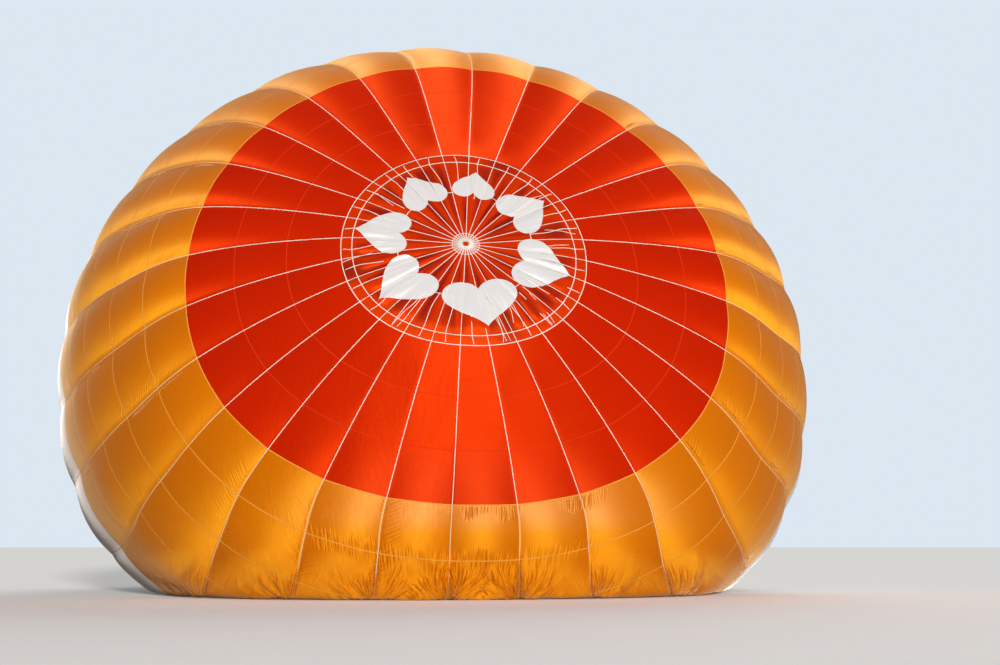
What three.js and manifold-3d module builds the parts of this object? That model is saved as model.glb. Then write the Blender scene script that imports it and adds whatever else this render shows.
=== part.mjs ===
// Hot air balloon at the end of its cold inflation. The envelope lies on its side with its crown
// towards -Y, and the basket lies on its long side behind the mouth, towards +Y.
// Millimetres, +Z up. The origin is on the ground, below the centre of the crown.
import * as THREE from "three";
import { mergeVertices } from "three/addons/utils/BufferGeometryUtils.js";
import Module from "manifold-3d";

const wasm = await Module();
wasm.setup();

// Clearance that touching pieces keep.
const GAP = 0.3;

// Envelope
const GORES = 28;
const COLUMNS_PER_GORE = 3;
const SECTOR_GORES = 7;
const FABRIC = 10;
const BOTTOM_TAPE_SHIFT = 0.22; // gores by which the bottom tape sits towards -X
const TAPE_CROWDING = 0.004; // share of a ring by which tapes shift between the ground and the sides
const GROUND_GATHER = 0.021; // share of a ring by which tapes draw together where they meet the ground
const GATHER_HEIGHT = 3300; // height at which they start to
const GORE_BULGE = 0.065; // height of a full gore over its width
const BULGE_STARTS = 3500;
const BULGE_FULL = 9500;
const FLOOR_SOFTNESS = 160; // height over which the fabric rolls onto the ground

// Rings of the envelope from the crown to the mouth. Each one is a half ellipse over a squarer
// lower half. Its plane leans back by its tilt, and it is turned by its roll in that plane, in radians.
const RING_COLUMNS = ["arc", "x", "y", "z", "tilt", "roll", "halfWidth", "up", "down", "squareness"];
const RINGS = [
  [0, 0, 0, 10000, 0.39, 0.03, 0, 0, 0, 2.1],
  [3500, 0, 200, 9800, 0.39, 0.03, 3550, 3450, 3100, 2.2],
  [8000, 150, 1750, 9150, 0.3, 0.02, 8000, 7650, 6850, 2.25],
  [11000, 200, 3750, 8650, 0.29, 0.01, 10250, 9600, 9350, 2.2],
  [14000, 300, 6300, 8000, 0.28, -0.01, 11800, 10750, 10650, 2.15],
  [19000, 500, 11100, 7200, 0.28, 0, 12800, 11200, 10300, 2.3],
  [24000, 250, 15600, 5500, 0.28, 0, 11650, 10700, 7450, 2.35],
  [29000, 0, 19500, 4100, 0.23, 0, 8750, 7900, 4900, 2.3],
  [33000, 0, 21900, 3200, 0.07, 0, 5500, 4800, 3450, 2.1],
  [36000, 0, 23100, 2520, -0.19, 0, 2800, 2500, 2500, 2],
];

// Vent in the crown
const CROWN_RING_HOLE = 90;
const CROWN_RING_OUTER = 120;
const CROWN_RING_PROUD = 4;
const HUB_OUTER = 300; // inside it the load tapes cover each other
const VENT_TAPE_INNER = 3420;
const VENT_EDGE = 3500;
const PARACHUTE_EDGE = 3800;
const TAPE_WIDTH = 40;

// Bands of fabric, each with the arcs of its horizontal seams.
const BANDS = [
  { name: "crown_red", colour: 0xd9331a, arcs: [VENT_EDGE, PARACHUTE_EDGE, 5000, 6500, 8000] },
  { name: "shoulder_yellow", colour: 0xf2a324, arcs: [8000, 9500, 11000, 12500, 14000, 15500] },
  { name: "body_white", colour: 0xe9e6ee, arcs: [15500, 17500, 19500, 21500, 23500] },
  { name: "lower_white", colour: 0xe9e6ee, arcs: [23500, 26000, 28500, 31000, 33500] },
];
const MOUTH_BAND_ARCS = [33500, 34750, 36000];

// Basket, built upright and then laid on its long side
const BASKET_LENGTH = 3600;
const BASKET_DEPTH = 1600;
const BASKET_HEIGHT = 1150;
const BASKET_UNDERSIDE_Y = 29800;
const WALL = 36;
const RUNNER = { width: 70, height: 45, spacing: 620 };
const FLOOR_PLATE = 18;
const FLOOR_TOP = RUNNER.height + FLOOR_PLATE;
const RIM_HEIGHT = 70;
const RIM_OVERHANG = 22;
const WALL_TOP = BASKET_HEIGHT - RIM_HEIGHT;
const PILOT_BAY = 1180;
const PARTITION = 34;
const PARTITION_TOP = 1010;
const FOOTHOLD = { width: 240, height: 110, low: 330, high: 640 };

// Burner frame over the basket
const FRAME_LENGTH = 1300;
const FRAME_DEPTH = 1000;
const FRAME_TUBE = 40;
const FRAME_BOTTOM = 2050;
const UPRIGHT_RADIUS = 32;
const UPRIGHT_FOOT = { x: 1150, y: 745 };
const LUG = { width: 60, height: 66, thickness: 12, hole: 15, holeRise: 38 };
const ROUND_SIDES = 12;
const PIN_RADIUS = 10;
const PIN_CLEARANCE = 0.5;
const GIMBAL_SIDE_GAP = 45;
const BURNER_SIDE_GAP = 40;
const BURNER_CAN = { radius: 128, height: 330, offsetX: 165, offsetY: 165, wall: 8 };
const BURNER_BLOCK = { height: 70, halfLength: 180, bar: 60, thickness: 40, stem: 26 };

// Karabiners and flying wires
const KARABINER = { rod: 6, width: 46, length: 100 };
const WIRE_RADIUS = 4;
const THIMBLE = { ring: 17, tube: 5 };
const YOKE = { spacing: 13, height: 16, depth: 16 };

// Fuel cylinders
const CYLINDER = { radius: 180, height: 860, collar: 95, collarHeight: 90 };

const MATERIALS = {
  tape: new THREE.MeshStandardMaterial({ color: 0xece4d2, roughness: 0.8, metalness: 0 }),
  steel: new THREE.MeshStandardMaterial({ color: 0xb9bcc0, roughness: 0.35, metalness: 1 }),
  wicker: new THREE.MeshStandardMaterial({ color: 0xa8773f, roughness: 0.8, metalness: 0 }),
  wood: new THREE.MeshStandardMaterial({ color: 0x8c6239, roughness: 0.6, metalness: 0 }),
  leather: new THREE.MeshStandardMaterial({ color: 0x4c2f20, roughness: 0.6, metalness: 0 }),
  aluminium: new THREE.MeshStandardMaterial({ color: 0xc9cbce, roughness: 0.4, metalness: 1 }),
};

const balloon = new THREE.Group();

function addMesh(parent, name, geometry, material) {
  const mesh = new THREE.Mesh(geometry, material);
  mesh.name = name;
  parent.add(mesh);
  return mesh;
}

function fabricMaterial(colour) {
  return new THREE.MeshStandardMaterial({ color: colour, roughness: 0.6, metalness: 0 });
}

// A ring's values at any arc, by cubic pieces through the table
const ringCache = new Map();

function ringAt(arc) {
  if (ringCache.has(arc)) return ringCache.get(arc);
  let i = RINGS.findIndex((row) => row[0] >= arc) - 1;
  if (i < 0) i = 0;
  const span = RINGS[i + 1][0] - RINGS[i][0];
  const t = (arc - RINGS[i][0]) / span;
  const slope = (row, column) => {
    const before = RINGS[Math.max(row - 1, 0)];
    const after = RINGS[Math.min(row + 1, RINGS.length - 1)];
    return (after[column] - before[column]) / (after[0] - before[0]);
  };
  const ring = {};
  RING_COLUMNS.forEach((column, c) => {
    const a = RINGS[i][c];
    const b = RINGS[i + 1][c];
    const startSlope = slope(i, c) * span;
    const endSlope = slope(i + 1, c) * span;
    ring[column] =
      a * (2 * t ** 3 - 3 * t ** 2 + 1) +
      startSlope * (t ** 3 - 2 * t ** 2 + t) +
      b * (3 * t ** 2 - 2 * t ** 3) +
      endSlope * (t ** 3 - t ** 2);
  });
  ring.outline = ringOutline(ring);
  ringCache.set(arc, ring);
  return ring;
}

// Fabric that would sink below the ground rolls out onto it
function restOnFloor(z) {
  return (z + Math.hypot(z, FLOOR_SOFTNESS)) / 2;
}

// Points round a ring with the distance travelled, from the bottom by way of -X
function ringOutline(ring) {
  const steps = 360;
  const points = [];
  const travelled = [0];
  for (let k = 0; k <= steps; k++) {
    const turn = (2 * Math.PI * k) / steps;
    const s = Math.sin(turn);
    const c = Math.cos(turn);
    const power = c > 0 ? 2 / ring.squareness : 1;
    const across = -ring.halfWidth * Math.sign(s) * Math.abs(s) ** power;
    const rise = -(c > 0 ? ring.down : ring.up) * Math.sign(c) * Math.abs(c) ** power;
    const x = ring.x + across * Math.cos(ring.roll) + rise * Math.sin(ring.roll);
    const height = rise * Math.cos(ring.roll) - across * Math.sin(ring.roll);
    const y = ring.y + height * Math.sin(ring.tilt);
    const z = restOnFloor(ring.z + height * Math.cos(ring.tilt));
    points.push(new THREE.Vector3(x, y, z));
    if (k > 0) travelled.push(travelled[k - 1] + points[k].distanceTo(points[k - 1]));
  }
  return { points, travelled };
}

// The point at a share of the way round a ring
function pointAlong({ points, travelled }, share) {
  const goal = share * travelled[travelled.length - 1];
  let low = 0;
  let high = travelled.length - 1;
  while (high - low > 1) {
    const middle = (low + high) >> 1;
    if (travelled[middle] <= goal) low = middle;
    else high = middle;
  }
  const step = travelled[high] - travelled[low];
  const t = step > 0 ? (goal - travelled[low]) / step : 0;
  return points[low].clone().lerp(points[high], t);
}

// A point of the smooth envelope, where gore counts tapes from the bottom by way of -X
function smoothPoint(arc, gore) {
  const { outline } = ringAt(arc);
  const { smoothstep } = THREE.MathUtils;
  const even = (((gore + BOTTOM_TAPE_SHIFT) / GORES) % 1 + 1) % 1;
  const share = even + TAPE_CROWDING * Math.sin(4 * Math.PI * even);
  const front = smoothstep(arc, 8000, 9500) * (1 - smoothstep(arc, 14000, 19000));
  if (front === 0) return pointAlong(outline, share);
  const low = Math.max(0, 1 - pointAlong(outline, share).z / GATHER_HEIGHT);
  const shape = Math.sin(2 * Math.PI * even) * Math.cos(Math.PI * even) ** 2;
  return pointAlong(outline, share - GROUND_GATHER * front * low ** 1.6 * shape);
}

function smoothNormal(arc, gore) {
  const ahead = smoothPoint(Math.min(arc + 60, RINGS[RINGS.length - 1][0]), gore);
  const behind = smoothPoint(Math.max(arc - 60, 60), gore);
  const right = smoothPoint(arc, gore + 0.2);
  const left = smoothPoint(arc, gore - 0.2);
  return right.sub(left).cross(ahead.sub(behind)).normalize();
}

const crownNormal = smoothNormal(HUB_OUTER, GORES / 2).add(smoothNormal(HUB_OUTER, 0)).normalize();

// A point of the fabric, pushed in by depth, with its gore bulged out between the tapes
function fabricPoint(arc, gore, depth, bulges) {
  const point = smoothPoint(arc, gore);
  const normal = smoothNormal(Math.max(arc, HUB_OUTER), gore);
  let push = -depth;
  if (bulges) {
    const between = gore - Math.floor(gore + 1e-9);
    const width = smoothPoint(arc, 0.5).distanceTo(smoothPoint(arc, -0.5));
    const grown = THREE.MathUtils.smoothstep(arc, BULGE_STARTS, BULGE_FULL);
    const lifted = THREE.MathUtils.smoothstep(point.z, 200, 1500);
    push += 4 * between * (1 - between) * GORE_BULGE * width * grown * lifted;
  }
  return point.addScaledVector(normal, push);
}

// A closed shell between two depths over a grid of arcs and gores. Cells that are left out become
// openings, the rows close on themselves when wrapped is true, and hasMiddle closes the first row
// over the centre of the crown. Both depths are functions of the arc.
function shellGeometry({ arcs, goresAt, outer, inner, bulges, wrapped, hasMiddle = false, isFilled = () => true }) {
  const rows = arcs.map((arc) => goresAt(arc));
  const columns = rows[0].length;
  const cellsAcross = wrapped ? columns : columns - 1;
  const cellsDown = arcs.length - 1;
  const positions = [];
  const index = [];
  const known = new Map();

  // Edges of an unwrapped shell draw back a little, which leaves the seam gap.
  const drawnBack = (i, j, depth) => {
    const point = fabricPoint(arcs[i], rows[i][j], depth, bulges);
    const towards = (row, column) => {
      const other = fabricPoint(arcs[row], rows[row][column], depth, bulges);
      const step = other.sub(point);
      return step.setLength(GAP / 2);
    };
    const shift = new THREE.Vector3();
    if (i === 0 && !hasMiddle) shift.add(towards(1, j));
    if (i === cellsDown) shift.add(towards(i - 1, j));
    if (!wrapped && j === 0) shift.add(towards(i, 1));
    if (!wrapped && j === columns - 1) shift.add(towards(i, j - 1));
    return point.add(shift);
  };
  const vertex = (i, j, layer) => {
    const column = j % columns;
    const key = (i * columns + column) * 2 + layer;
    if (!known.has(key)) {
      const depth = layer === 0 ? outer : inner;
      const point = drawnBack(i, column, depth(arcs[i]));
      known.set(key, positions.length / 3);
      positions.push(point.x, point.y, point.z);
    }
    return known.get(key);
  };
  const hubs = [outer, inner].map((depth) => {
    if (!hasMiddle) return -1;
    const hub = smoothPoint(0, 0).addScaledVector(crownNormal, -depth(0));
    positions.push(hub.x, hub.y, hub.z);
    return positions.length / 3 - 1;
  });
  const quad = (a, b, c, d) => index.push(a, b, c, a, c, d);
  const filled = (i, j) => {
    if (i < 0 || i >= cellsDown) return false;
    if (!wrapped && (j < 0 || j >= cellsAcross)) return false;
    return isFilled(i, (j + cellsAcross) % cellsAcross);
  };
  for (let i = 0; i < cellsDown; i++) {
    for (let j = 0; j < cellsAcross; j++) {
      if (!filled(i, j)) continue;
      const corner = (di, dj, layer) => vertex(i + di, j + dj, layer);
      quad(corner(0, 0, 0), corner(0, 1, 0), corner(1, 1, 0), corner(1, 0, 0));
      quad(corner(0, 0, 1), corner(1, 0, 1), corner(1, 1, 1), corner(0, 1, 1));
      if (hasMiddle && i === 0) {
        index.push(hubs[0], corner(0, 1, 0), corner(0, 0, 0), hubs[1], corner(0, 0, 1), corner(0, 1, 1));
      } else if (!filled(i - 1, j)) {
        quad(corner(0, 0, 0), corner(0, 0, 1), corner(0, 1, 1), corner(0, 1, 0));
      }
      if (!filled(i + 1, j)) quad(corner(1, 0, 0), corner(1, 1, 0), corner(1, 1, 1), corner(1, 0, 1));
      if (!filled(i, j - 1)) quad(corner(0, 0, 0), corner(1, 0, 0), corner(1, 0, 1), corner(0, 0, 1));
      if (!filled(i, j + 1)) quad(corner(0, 1, 0), corner(0, 1, 1), corner(1, 1, 1), corner(1, 1, 0));
    }
  }
  const geometry = new THREE.BufferGeometry();
  geometry.setAttribute("position", new THREE.Float32BufferAttribute(positions, 3));
  geometry.setIndex(index);
  return geometry;
}

function goreColumns(from, to) {
  const columns = [];
  for (let k = from * COLUMNS_PER_GORE; k <= to * COLUMNS_PER_GORE; k++) columns.push(k / COLUMNS_PER_GORE);
  return columns;
}

// Fabric bands, each in sectors that meet along load tapes
for (const band of BANDS) {
  for (let sector = 0; sector < GORES / SECTOR_GORES; sector++) {
    const from = sector * SECTOR_GORES;
    const geometry = shellGeometry({
      arcs: band.arcs,
      goresAt: () => goreColumns(from, from + SECTOR_GORES),
      outer: () => 0,
      inner: () => FABRIC,
      bulges: true,
      wrapped: false,
    });
    addMesh(balloon, `${band.name}_${sector + 1}`, geometry, fabricMaterial(band.colour));
  }
}
addMesh(
  balloon,
  "mouth_band",
  shellGeometry({
    arcs: MOUTH_BAND_ARCS,
    goresAt: () => goreColumns(0, GORES).slice(0, -1),
    outer: () => 0,
    inner: () => FABRIC,
    bulges: true,
    wrapped: true,
  }),
  fabricMaterial(0xb8281a),
);

// Load tapes over the vent, joined by the vent's edge tape and by the loops round the crown ring
// Its outer edge draws back from the fabric, whose corners lie on other points of the same curve.
const WEB_EDGE_BACK = 1.7;
const webEdge = VENT_EDGE - WEB_EDGE_BACK;
const webArcs = [CROWN_RING_OUTER, HUB_OUTER, 1900, VENT_TAPE_INNER, webEdge];
const webFullRows = [0, webArcs.length - 2];

function webColumns(arc) {
  const goreWidth = (2 * Math.PI * arc) / GORES;
  const half = Math.min(TAPE_WIDTH / 2 / goreWidth, 0.32);
  const columns = [];
  for (let k = 0; k < GORES; k++) {
    columns.push(k - half, k + half);
    for (let part = 1; part < COLUMNS_PER_GORE; part++) {
      columns.push(Math.min(Math.max(k + part / COLUMNS_PER_GORE, k + half * 1.02), k + 1 - half * 1.02));
    }
  }
  return columns;
}

addMesh(
  balloon,
  "crown_tapes",
  shellGeometry({
    arcs: webArcs,
    goresAt: webColumns,
    outer: () => 0,
    inner: () => FABRIC,
    bulges: false,
    wrapped: true,
    isFilled: (row, column) => column % (COLUMNS_PER_GORE + 1) === 0 || webFullRows.includes(row),
  }),
  MATERIALS.tape,
);

// Parachute that closes the vent from inside. Its rim seats on the vent's edge.
const PARACHUTE_SAG = 4;
const parachuteDepth = (arc) => FABRIC + 2 * GAP + (arc < VENT_TAPE_INNER ? PARACHUTE_SAG : 0);
const parachuteArcs = [HUB_OUTER, VENT_TAPE_INNER, VENT_EDGE, PARACHUTE_EDGE];

addMesh(
  balloon,
  "parachute",
  shellGeometry({
    arcs: parachuteArcs,
    goresAt: () => goreColumns(0, GORES).slice(0, -1),
    outer: parachuteDepth,
    inner: (arc) => parachuteDepth(arc) + FABRIC,
    bulges: false,
    wrapped: true,
    hasMiddle: true,
  }),
  fabricMaterial(0xd9331a),
);

// Crown ring, a metal ring in the middle of the tapes that stands a little proud of them
addMesh(
  balloon,
  "crown_ring",
  shellGeometry({
    arcs: [CROWN_RING_HOLE, CROWN_RING_OUTER - 1],
    goresAt: () => Array.from({ length: GORES }, (_, k) => k),
    outer: () => -CROWN_RING_PROUD,
    inner: () => FABRIC,
    bulges: false,
    wrapped: true,
  }),
  MATERIALS.steel,
);

// Boolean helpers
function toManifold(geometry) {
  const bare = geometry.clone();
  bare.deleteAttribute("normal");
  bare.deleteAttribute("uv");
  const merged = mergeVertices(bare, 0.001);
  const mesh = new wasm.Mesh({
    numProp: 3,
    vertProperties: new Float32Array(merged.attributes.position.array),
    triVerts: new Uint32Array(merged.index.array),
  });
  return new wasm.Manifold(mesh);
}

function fromManifold(solid) {
  const mesh = solid.getMesh();
  const geometry = new THREE.BufferGeometry();
  geometry.setAttribute("position", new THREE.Float32BufferAttribute(mesh.vertProperties, 3));
  geometry.setIndex(new THREE.Uint32BufferAttribute(mesh.triVerts, 1));
  return geometry;
}

function boxAt(sizeX, sizeY, sizeZ, x, y, z) {
  return new THREE.BoxGeometry(sizeX, sizeY, sizeZ).translate(x, y, z);
}

function joined(geometries) {
  let solid = toManifold(geometries[0]);
  for (const geometry of geometries.slice(1)) solid = solid.add(toManifold(geometry));
  return solid;
}

function cutFrom(solid, geometries) {
  let rest = solid;
  for (const geometry of geometries) rest = rest.subtract(toManifold(geometry));
  return rest;
}

// A rod whose two ends are level rings, so that it seats flat on what carries it
function slantedRod(from, to, radius, sides) {
  const positions = [];
  const index = [];
  for (const end of [from, to]) {
    for (let k = 0; k < sides; k++) {
      const turn = (2 * Math.PI * k) / sides;
      positions.push(end.x + radius * Math.cos(turn), end.y + radius * Math.sin(turn), end.z);
    }
  }
  for (let k = 0; k < sides; k++) {
    const next = (k + 1) % sides;
    index.push(k, next, sides + next, k, sides + next, sides + k);
    if (k > 0 && k < sides - 1) {
      index.push(0, k + 1, k, sides, sides + k, sides + k + 1);
    }
  }
  const geometry = new THREE.BufferGeometry();
  geometry.setAttribute("position", new THREE.Float32BufferAttribute(positions, 3));
  geometry.setIndex(index);
  return geometry;
}

// A round rod between two points, square at its ends
function rodBetween(from, to, radius, sides) {
  const length = from.distanceTo(to);
  const rod = new THREE.CylinderGeometry(radius, radius, length, sides);
  const direction = to.clone().sub(from).normalize();
  rod.applyQuaternion(new THREE.Quaternion().setFromUnitVectors(new THREE.Vector3(0, 1, 0), direction));
  return rod.translate(...from.clone().add(to).multiplyScalar(0.5).toArray());
}

// The basket's group turns its upright axis towards -Y and rests its long side on the ground.
const basket = new THREE.Group();
basket.rotation.x = Math.PI / 2;
basket.position.set(0, BASKET_UNDERSIDE_Y, BASKET_DEPTH / 2 + RIM_OVERHANG);
balloon.add(basket);
basket.updateMatrixWorld(true);

// Floor on three runners
const runners = [-1, 0, 1].map((side) =>
  boxAt(BASKET_LENGTH - 120, RUNNER.width, RUNNER.height + 1, 0, side * RUNNER.spacing, RUNNER.height / 2 + 0.5),
);
const floorPlate = boxAt(BASKET_LENGTH, BASKET_DEPTH, FLOOR_PLATE, 0, 0, RUNNER.height + FLOOR_PLATE / 2);
addMesh(basket, "basket_floor", fromManifold(joined([floorPlate, ...runners])), MATERIALS.wood);

// Woven walls, the long ones with footholds
const wallBottom = FLOOR_TOP + GAP;
const wallHeight = WALL_TOP - wallBottom;
const footholdX = [-1, 1].flatMap((side) => [side * 850, side * 1450]);

function longWall(y) {
  const wall = boxAt(BASKET_LENGTH, WALL, wallHeight, 0, y, wallBottom + wallHeight / 2);
  const holes = footholdX.map((x, k) => {
    const bottom = k % 2 === 0 ? FOOTHOLD.high : FOOTHOLD.low;
    return boxAt(FOOTHOLD.width, WALL + 20, FOOTHOLD.height, x, y, bottom + FOOTHOLD.height / 2);
  });
  return fromManifold(cutFrom(toManifold(wall), holes));
}

const longWallY = (BASKET_DEPTH - WALL) / 2;
addMesh(basket, "basket_wall_ground_side", longWall(-longWallY), MATERIALS.wicker);
addMesh(basket, "basket_wall_sky_side", longWall(longWallY), MATERIALS.wicker);
const endWallDepth = BASKET_DEPTH - 2 * WALL - 2 * GAP;
for (const [side, label] of [[-1, "left"], [1, "right"]]) {
  const x = side * (BASKET_LENGTH / 2 - WALL / 2);
  const wall = boxAt(WALL, endWallDepth, wallHeight, x, 0, wallBottom + wallHeight / 2);
  addMesh(basket, `basket_end_${label}`, wall, MATERIALS.wicker);
}

// Partitions in the shape of a T at each end, round the pilot's bay
const bayEnd = PILOT_BAY / 2;
const endWallInside = BASKET_LENGTH / 2 - WALL - GAP;
for (const [side, label] of [[-1, "left"], [1, "right"]]) {
  const height = PARTITION_TOP - FLOOR_TOP - GAP;
  const middle = FLOOR_TOP + GAP + height / 2;
  const cross = boxAt(PARTITION, endWallDepth, height, side * (bayEnd + PARTITION / 2), 0, middle);
  const reach = endWallInside - bayEnd - PARTITION / 2;
  const along = boxAt(reach, PARTITION, height, side * (endWallInside - reach / 2), 0, middle);
  addMesh(basket, `basket_partition_${label}`, fromManifold(joined([cross, along])), MATERIALS.wicker);
}

// Padded rim
function roundedOutline(length, depth, radius) {
  const x = length / 2;
  const y = depth / 2;
  const outline = new THREE.Shape();
  outline.moveTo(-x + radius, -y);
  outline.lineTo(x - radius, -y);
  outline.absarc(x - radius, -y + radius, radius, -Math.PI / 2, 0);
  outline.lineTo(x, y - radius);
  outline.absarc(x - radius, y - radius, radius, 0, Math.PI / 2);
  outline.lineTo(-x + radius, y);
  outline.absarc(-x + radius, y - radius, radius, Math.PI / 2, Math.PI);
  outline.lineTo(-x, -y + radius);
  outline.absarc(-x + radius, -y + radius, radius, Math.PI, 1.5 * Math.PI);
  return outline;
}

function slab(outline, bottom, top, bevel, curveSegments) {
  const geometry = new THREE.ExtrudeGeometry(outline, {
    depth: top - bottom - 2 * bevel,
    bevelEnabled: bevel > 0,
    bevelThickness: bevel,
    bevelSize: bevel,
    bevelSegments: 1,
    curveSegments,
  });
  return geometry.translate(0, 0, bottom + bevel);
}

const rimBevel = 20;
const rimBottom = WALL_TOP + GAP;
const rimGrowth = 2 * (RIM_OVERHANG - rimBevel);
const rimSolid = slab(
  roundedOutline(BASKET_LENGTH + rimGrowth, BASKET_DEPTH + rimGrowth, 60), rimBottom, BASKET_HEIGHT, rimBevel, 3);
const rimHoleShrink = 2 * (WALL + RIM_OVERHANG);
const rimHole = slab(
  roundedOutline(BASKET_LENGTH - rimHoleShrink, BASKET_DEPTH - rimHoleShrink, 40),
  rimBottom - 10, BASKET_HEIGHT + 10, 0, 3);
addMesh(basket, "basket_rim", fromManifold(cutFrom(toManifold(rimSolid), [rimHole])), MATERIALS.leather);

// Burner frame with a lug at each corner, bored for the gimbal's pins
const frameMiddle = FRAME_BOTTOM + FRAME_TUBE / 2;
const frameTop = FRAME_BOTTOM + FRAME_TUBE;
const lugX = FRAME_LENGTH / 2 - FRAME_TUBE / 2;
const lugY = FRAME_DEPTH / 2 - LUG.width / 2;
const corners = [[-1, -1, 1], [-1, 1, 2], [1, 1, 3], [1, -1, 4]];

function rectangleTube(length, depth, tube, height, z) {
  const outer = boxAt(length, depth, height, 0, 0, z);
  return cutFrom(toManifold(outer), [boxAt(length - 2 * tube, depth - 2 * tube, height + 2, 0, 0, z)]);
}

function crossPin(radius, length, x, y, z, alongX) {
  const pin = new THREE.CylinderGeometry(radius, radius, length, ROUND_SIDES);
  if (alongX) pin.rotateZ(Math.PI / 2);
  return pin.translate(x, y, z);
}

const boreRadius = (PIN_RADIUS + PIN_CLEARANCE) / Math.cos(Math.PI / ROUND_SIDES);
let loadFrame = rectangleTube(FRAME_LENGTH, FRAME_DEPTH, FRAME_TUBE, FRAME_TUBE, frameMiddle);
for (const [sx, sy] of corners) {
  const lug = boxAt(LUG.thickness, LUG.width, LUG.height + 1, sx * lugX, sy * lugY, frameTop + LUG.height / 2 - 0.5);
  const hole = new THREE.CylinderGeometry(LUG.hole, LUG.hole, LUG.thickness * 2, ROUND_SIDES).rotateZ(Math.PI / 2);
  hole.translate(sx * lugX, sy * lugY, frameTop + LUG.holeRise);
  loadFrame = loadFrame.add(toManifold(lug)).subtract(toManifold(hole));
}
loadFrame = cutFrom(loadFrame, [crossPin(boreRadius, FRAME_LENGTH + 20, 0, 0, frameMiddle, true)]);
addMesh(basket, "load_frame", fromManifold(loadFrame), MATERIALS.steel);

// Gimbal that tilts about the long axis, bored for the burner's pins
const gimbalLength = FRAME_LENGTH - 2 * FRAME_TUBE - 2 * GIMBAL_SIDE_GAP;
const gimbalDepth = FRAME_DEPTH - 2 * FRAME_TUBE - 2 * GIMBAL_SIDE_GAP;
const gimbalPinLength = GIMBAL_SIDE_GAP + FRAME_TUBE;
let gimbal = rectangleTube(gimbalLength, gimbalDepth, FRAME_TUBE, FRAME_TUBE, frameMiddle);
for (const side of [-1, 1]) {
  const x = side * (gimbalLength / 2 + gimbalPinLength / 2 - 5);
  gimbal = gimbal.add(toManifold(crossPin(PIN_RADIUS, gimbalPinLength + 10, x, 0, frameMiddle, true)));
}
gimbal = cutFrom(gimbal, [crossPin(boreRadius, gimbalDepth + 20, 0, 0, frameMiddle, false)]);
addMesh(basket, "gimbal", fromManifold(gimbal), MATERIALS.steel);

// Burner block and its four cans
const burnerDepth = gimbalDepth - 2 * FRAME_TUBE - 2 * BURNER_SIDE_GAP;
const burnerPinLength = BURNER_SIDE_GAP + FRAME_TUBE;
let burnerBlock = joined([
  boxAt(BURNER_BLOCK.bar, burnerDepth, BURNER_BLOCK.thickness, 0, 0, frameMiddle),
  ...[-1, 1].map((side) => boxAt(
    2 * BURNER_BLOCK.halfLength, BURNER_BLOCK.bar, BURNER_BLOCK.thickness, 0, side * BURNER_CAN.offsetY, frameMiddle)),
]);
const canBottom = frameMiddle + BURNER_BLOCK.height / 2;
for (const sx of [-1, 1]) {
  for (const sy of [-1, 1]) {
    const stem = new THREE.CylinderGeometry(
      BURNER_BLOCK.stem, BURNER_BLOCK.stem, BURNER_BLOCK.height, ROUND_SIDES).rotateX(Math.PI / 2);
    stem.translate(sx * BURNER_CAN.offsetX, sy * BURNER_CAN.offsetY, frameMiddle);
    burnerBlock = burnerBlock.add(toManifold(stem));
  }
  const y = sx * (burnerDepth / 2 + burnerPinLength / 2 - 5);
  burnerBlock = burnerBlock.add(toManifold(crossPin(PIN_RADIUS, burnerPinLength + 10, 0, y, frameMiddle, false)));
}
addMesh(basket, "burner_block", fromManifold(burnerBlock), MATERIALS.steel);

const canProfile = [
  [0, 0],
  [BURNER_CAN.radius * 0.55, 0],
  [BURNER_CAN.radius, 60],
  [BURNER_CAN.radius, BURNER_CAN.height],
  [BURNER_CAN.radius - BURNER_CAN.wall, BURNER_CAN.height],
  [BURNER_CAN.radius - BURNER_CAN.wall, 66],
  [BURNER_CAN.radius * 0.5, 12],
  [0, 12],
].map(([r, h]) => new THREE.Vector2(r, h));
for (const [sx, sy, number] of corners) {
  const can = new THREE.LatheGeometry(canProfile, ROUND_SIDES).rotateX(Math.PI / 2);
  can.translate(sx * BURNER_CAN.offsetX, sy * BURNER_CAN.offsetY, canBottom + GAP);
  addMesh(basket, `burner_can_${number}`, can, MATERIALS.steel);
}

// Uprights between the rim and the frame
for (const [sx, sy, number] of corners) {
  const foot = new THREE.Vector3(sx * UPRIGHT_FOOT.x, sy * UPRIGHT_FOOT.y, BASKET_HEIGHT + GAP);
  const head = new THREE.Vector3(
    sx * (FRAME_LENGTH / 2 - UPRIGHT_RADIUS), sy * (FRAME_DEPTH / 2 - UPRIGHT_RADIUS), FRAME_BOTTOM - GAP);
  addMesh(basket, `upright_${number}`, slantedRod(foot, head, UPRIGHT_RADIUS, ROUND_SIDES), MATERIALS.leather);
}

// Fuel cylinders at the corners of the pilot's bay
const cylinderProfile = [
  [0, 0],
  [CYLINDER.radius * 0.62, 0],
  [CYLINDER.radius * 0.72, 30],
  [CYLINDER.radius, 90],
  [CYLINDER.radius, CYLINDER.height - 190],
  [CYLINDER.radius * 0.72, CYLINDER.height - 110],
  [CYLINDER.collar, CYLINDER.height - CYLINDER.collarHeight],
  [CYLINDER.collar, CYLINDER.height],
  [0, CYLINDER.height],
].map(([r, h]) => new THREE.Vector2(r, h));
const cylinderX = bayEnd - CYLINDER.radius - 2 * GAP;
const cylinderY = BASKET_DEPTH / 2 - WALL - CYLINDER.radius - 2 * GAP;
for (const [sx, sy, number] of corners) {
  const cylinder = new THREE.LatheGeometry(cylinderProfile, ROUND_SIDES).rotateX(Math.PI / 2);
  cylinder.translate(sx * cylinderX, sy * cylinderY, FLOOR_TOP + GAP);
  addMesh(basket, `fuel_cylinder_${number}`, cylinder, MATERIALS.aluminium);
}

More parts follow.
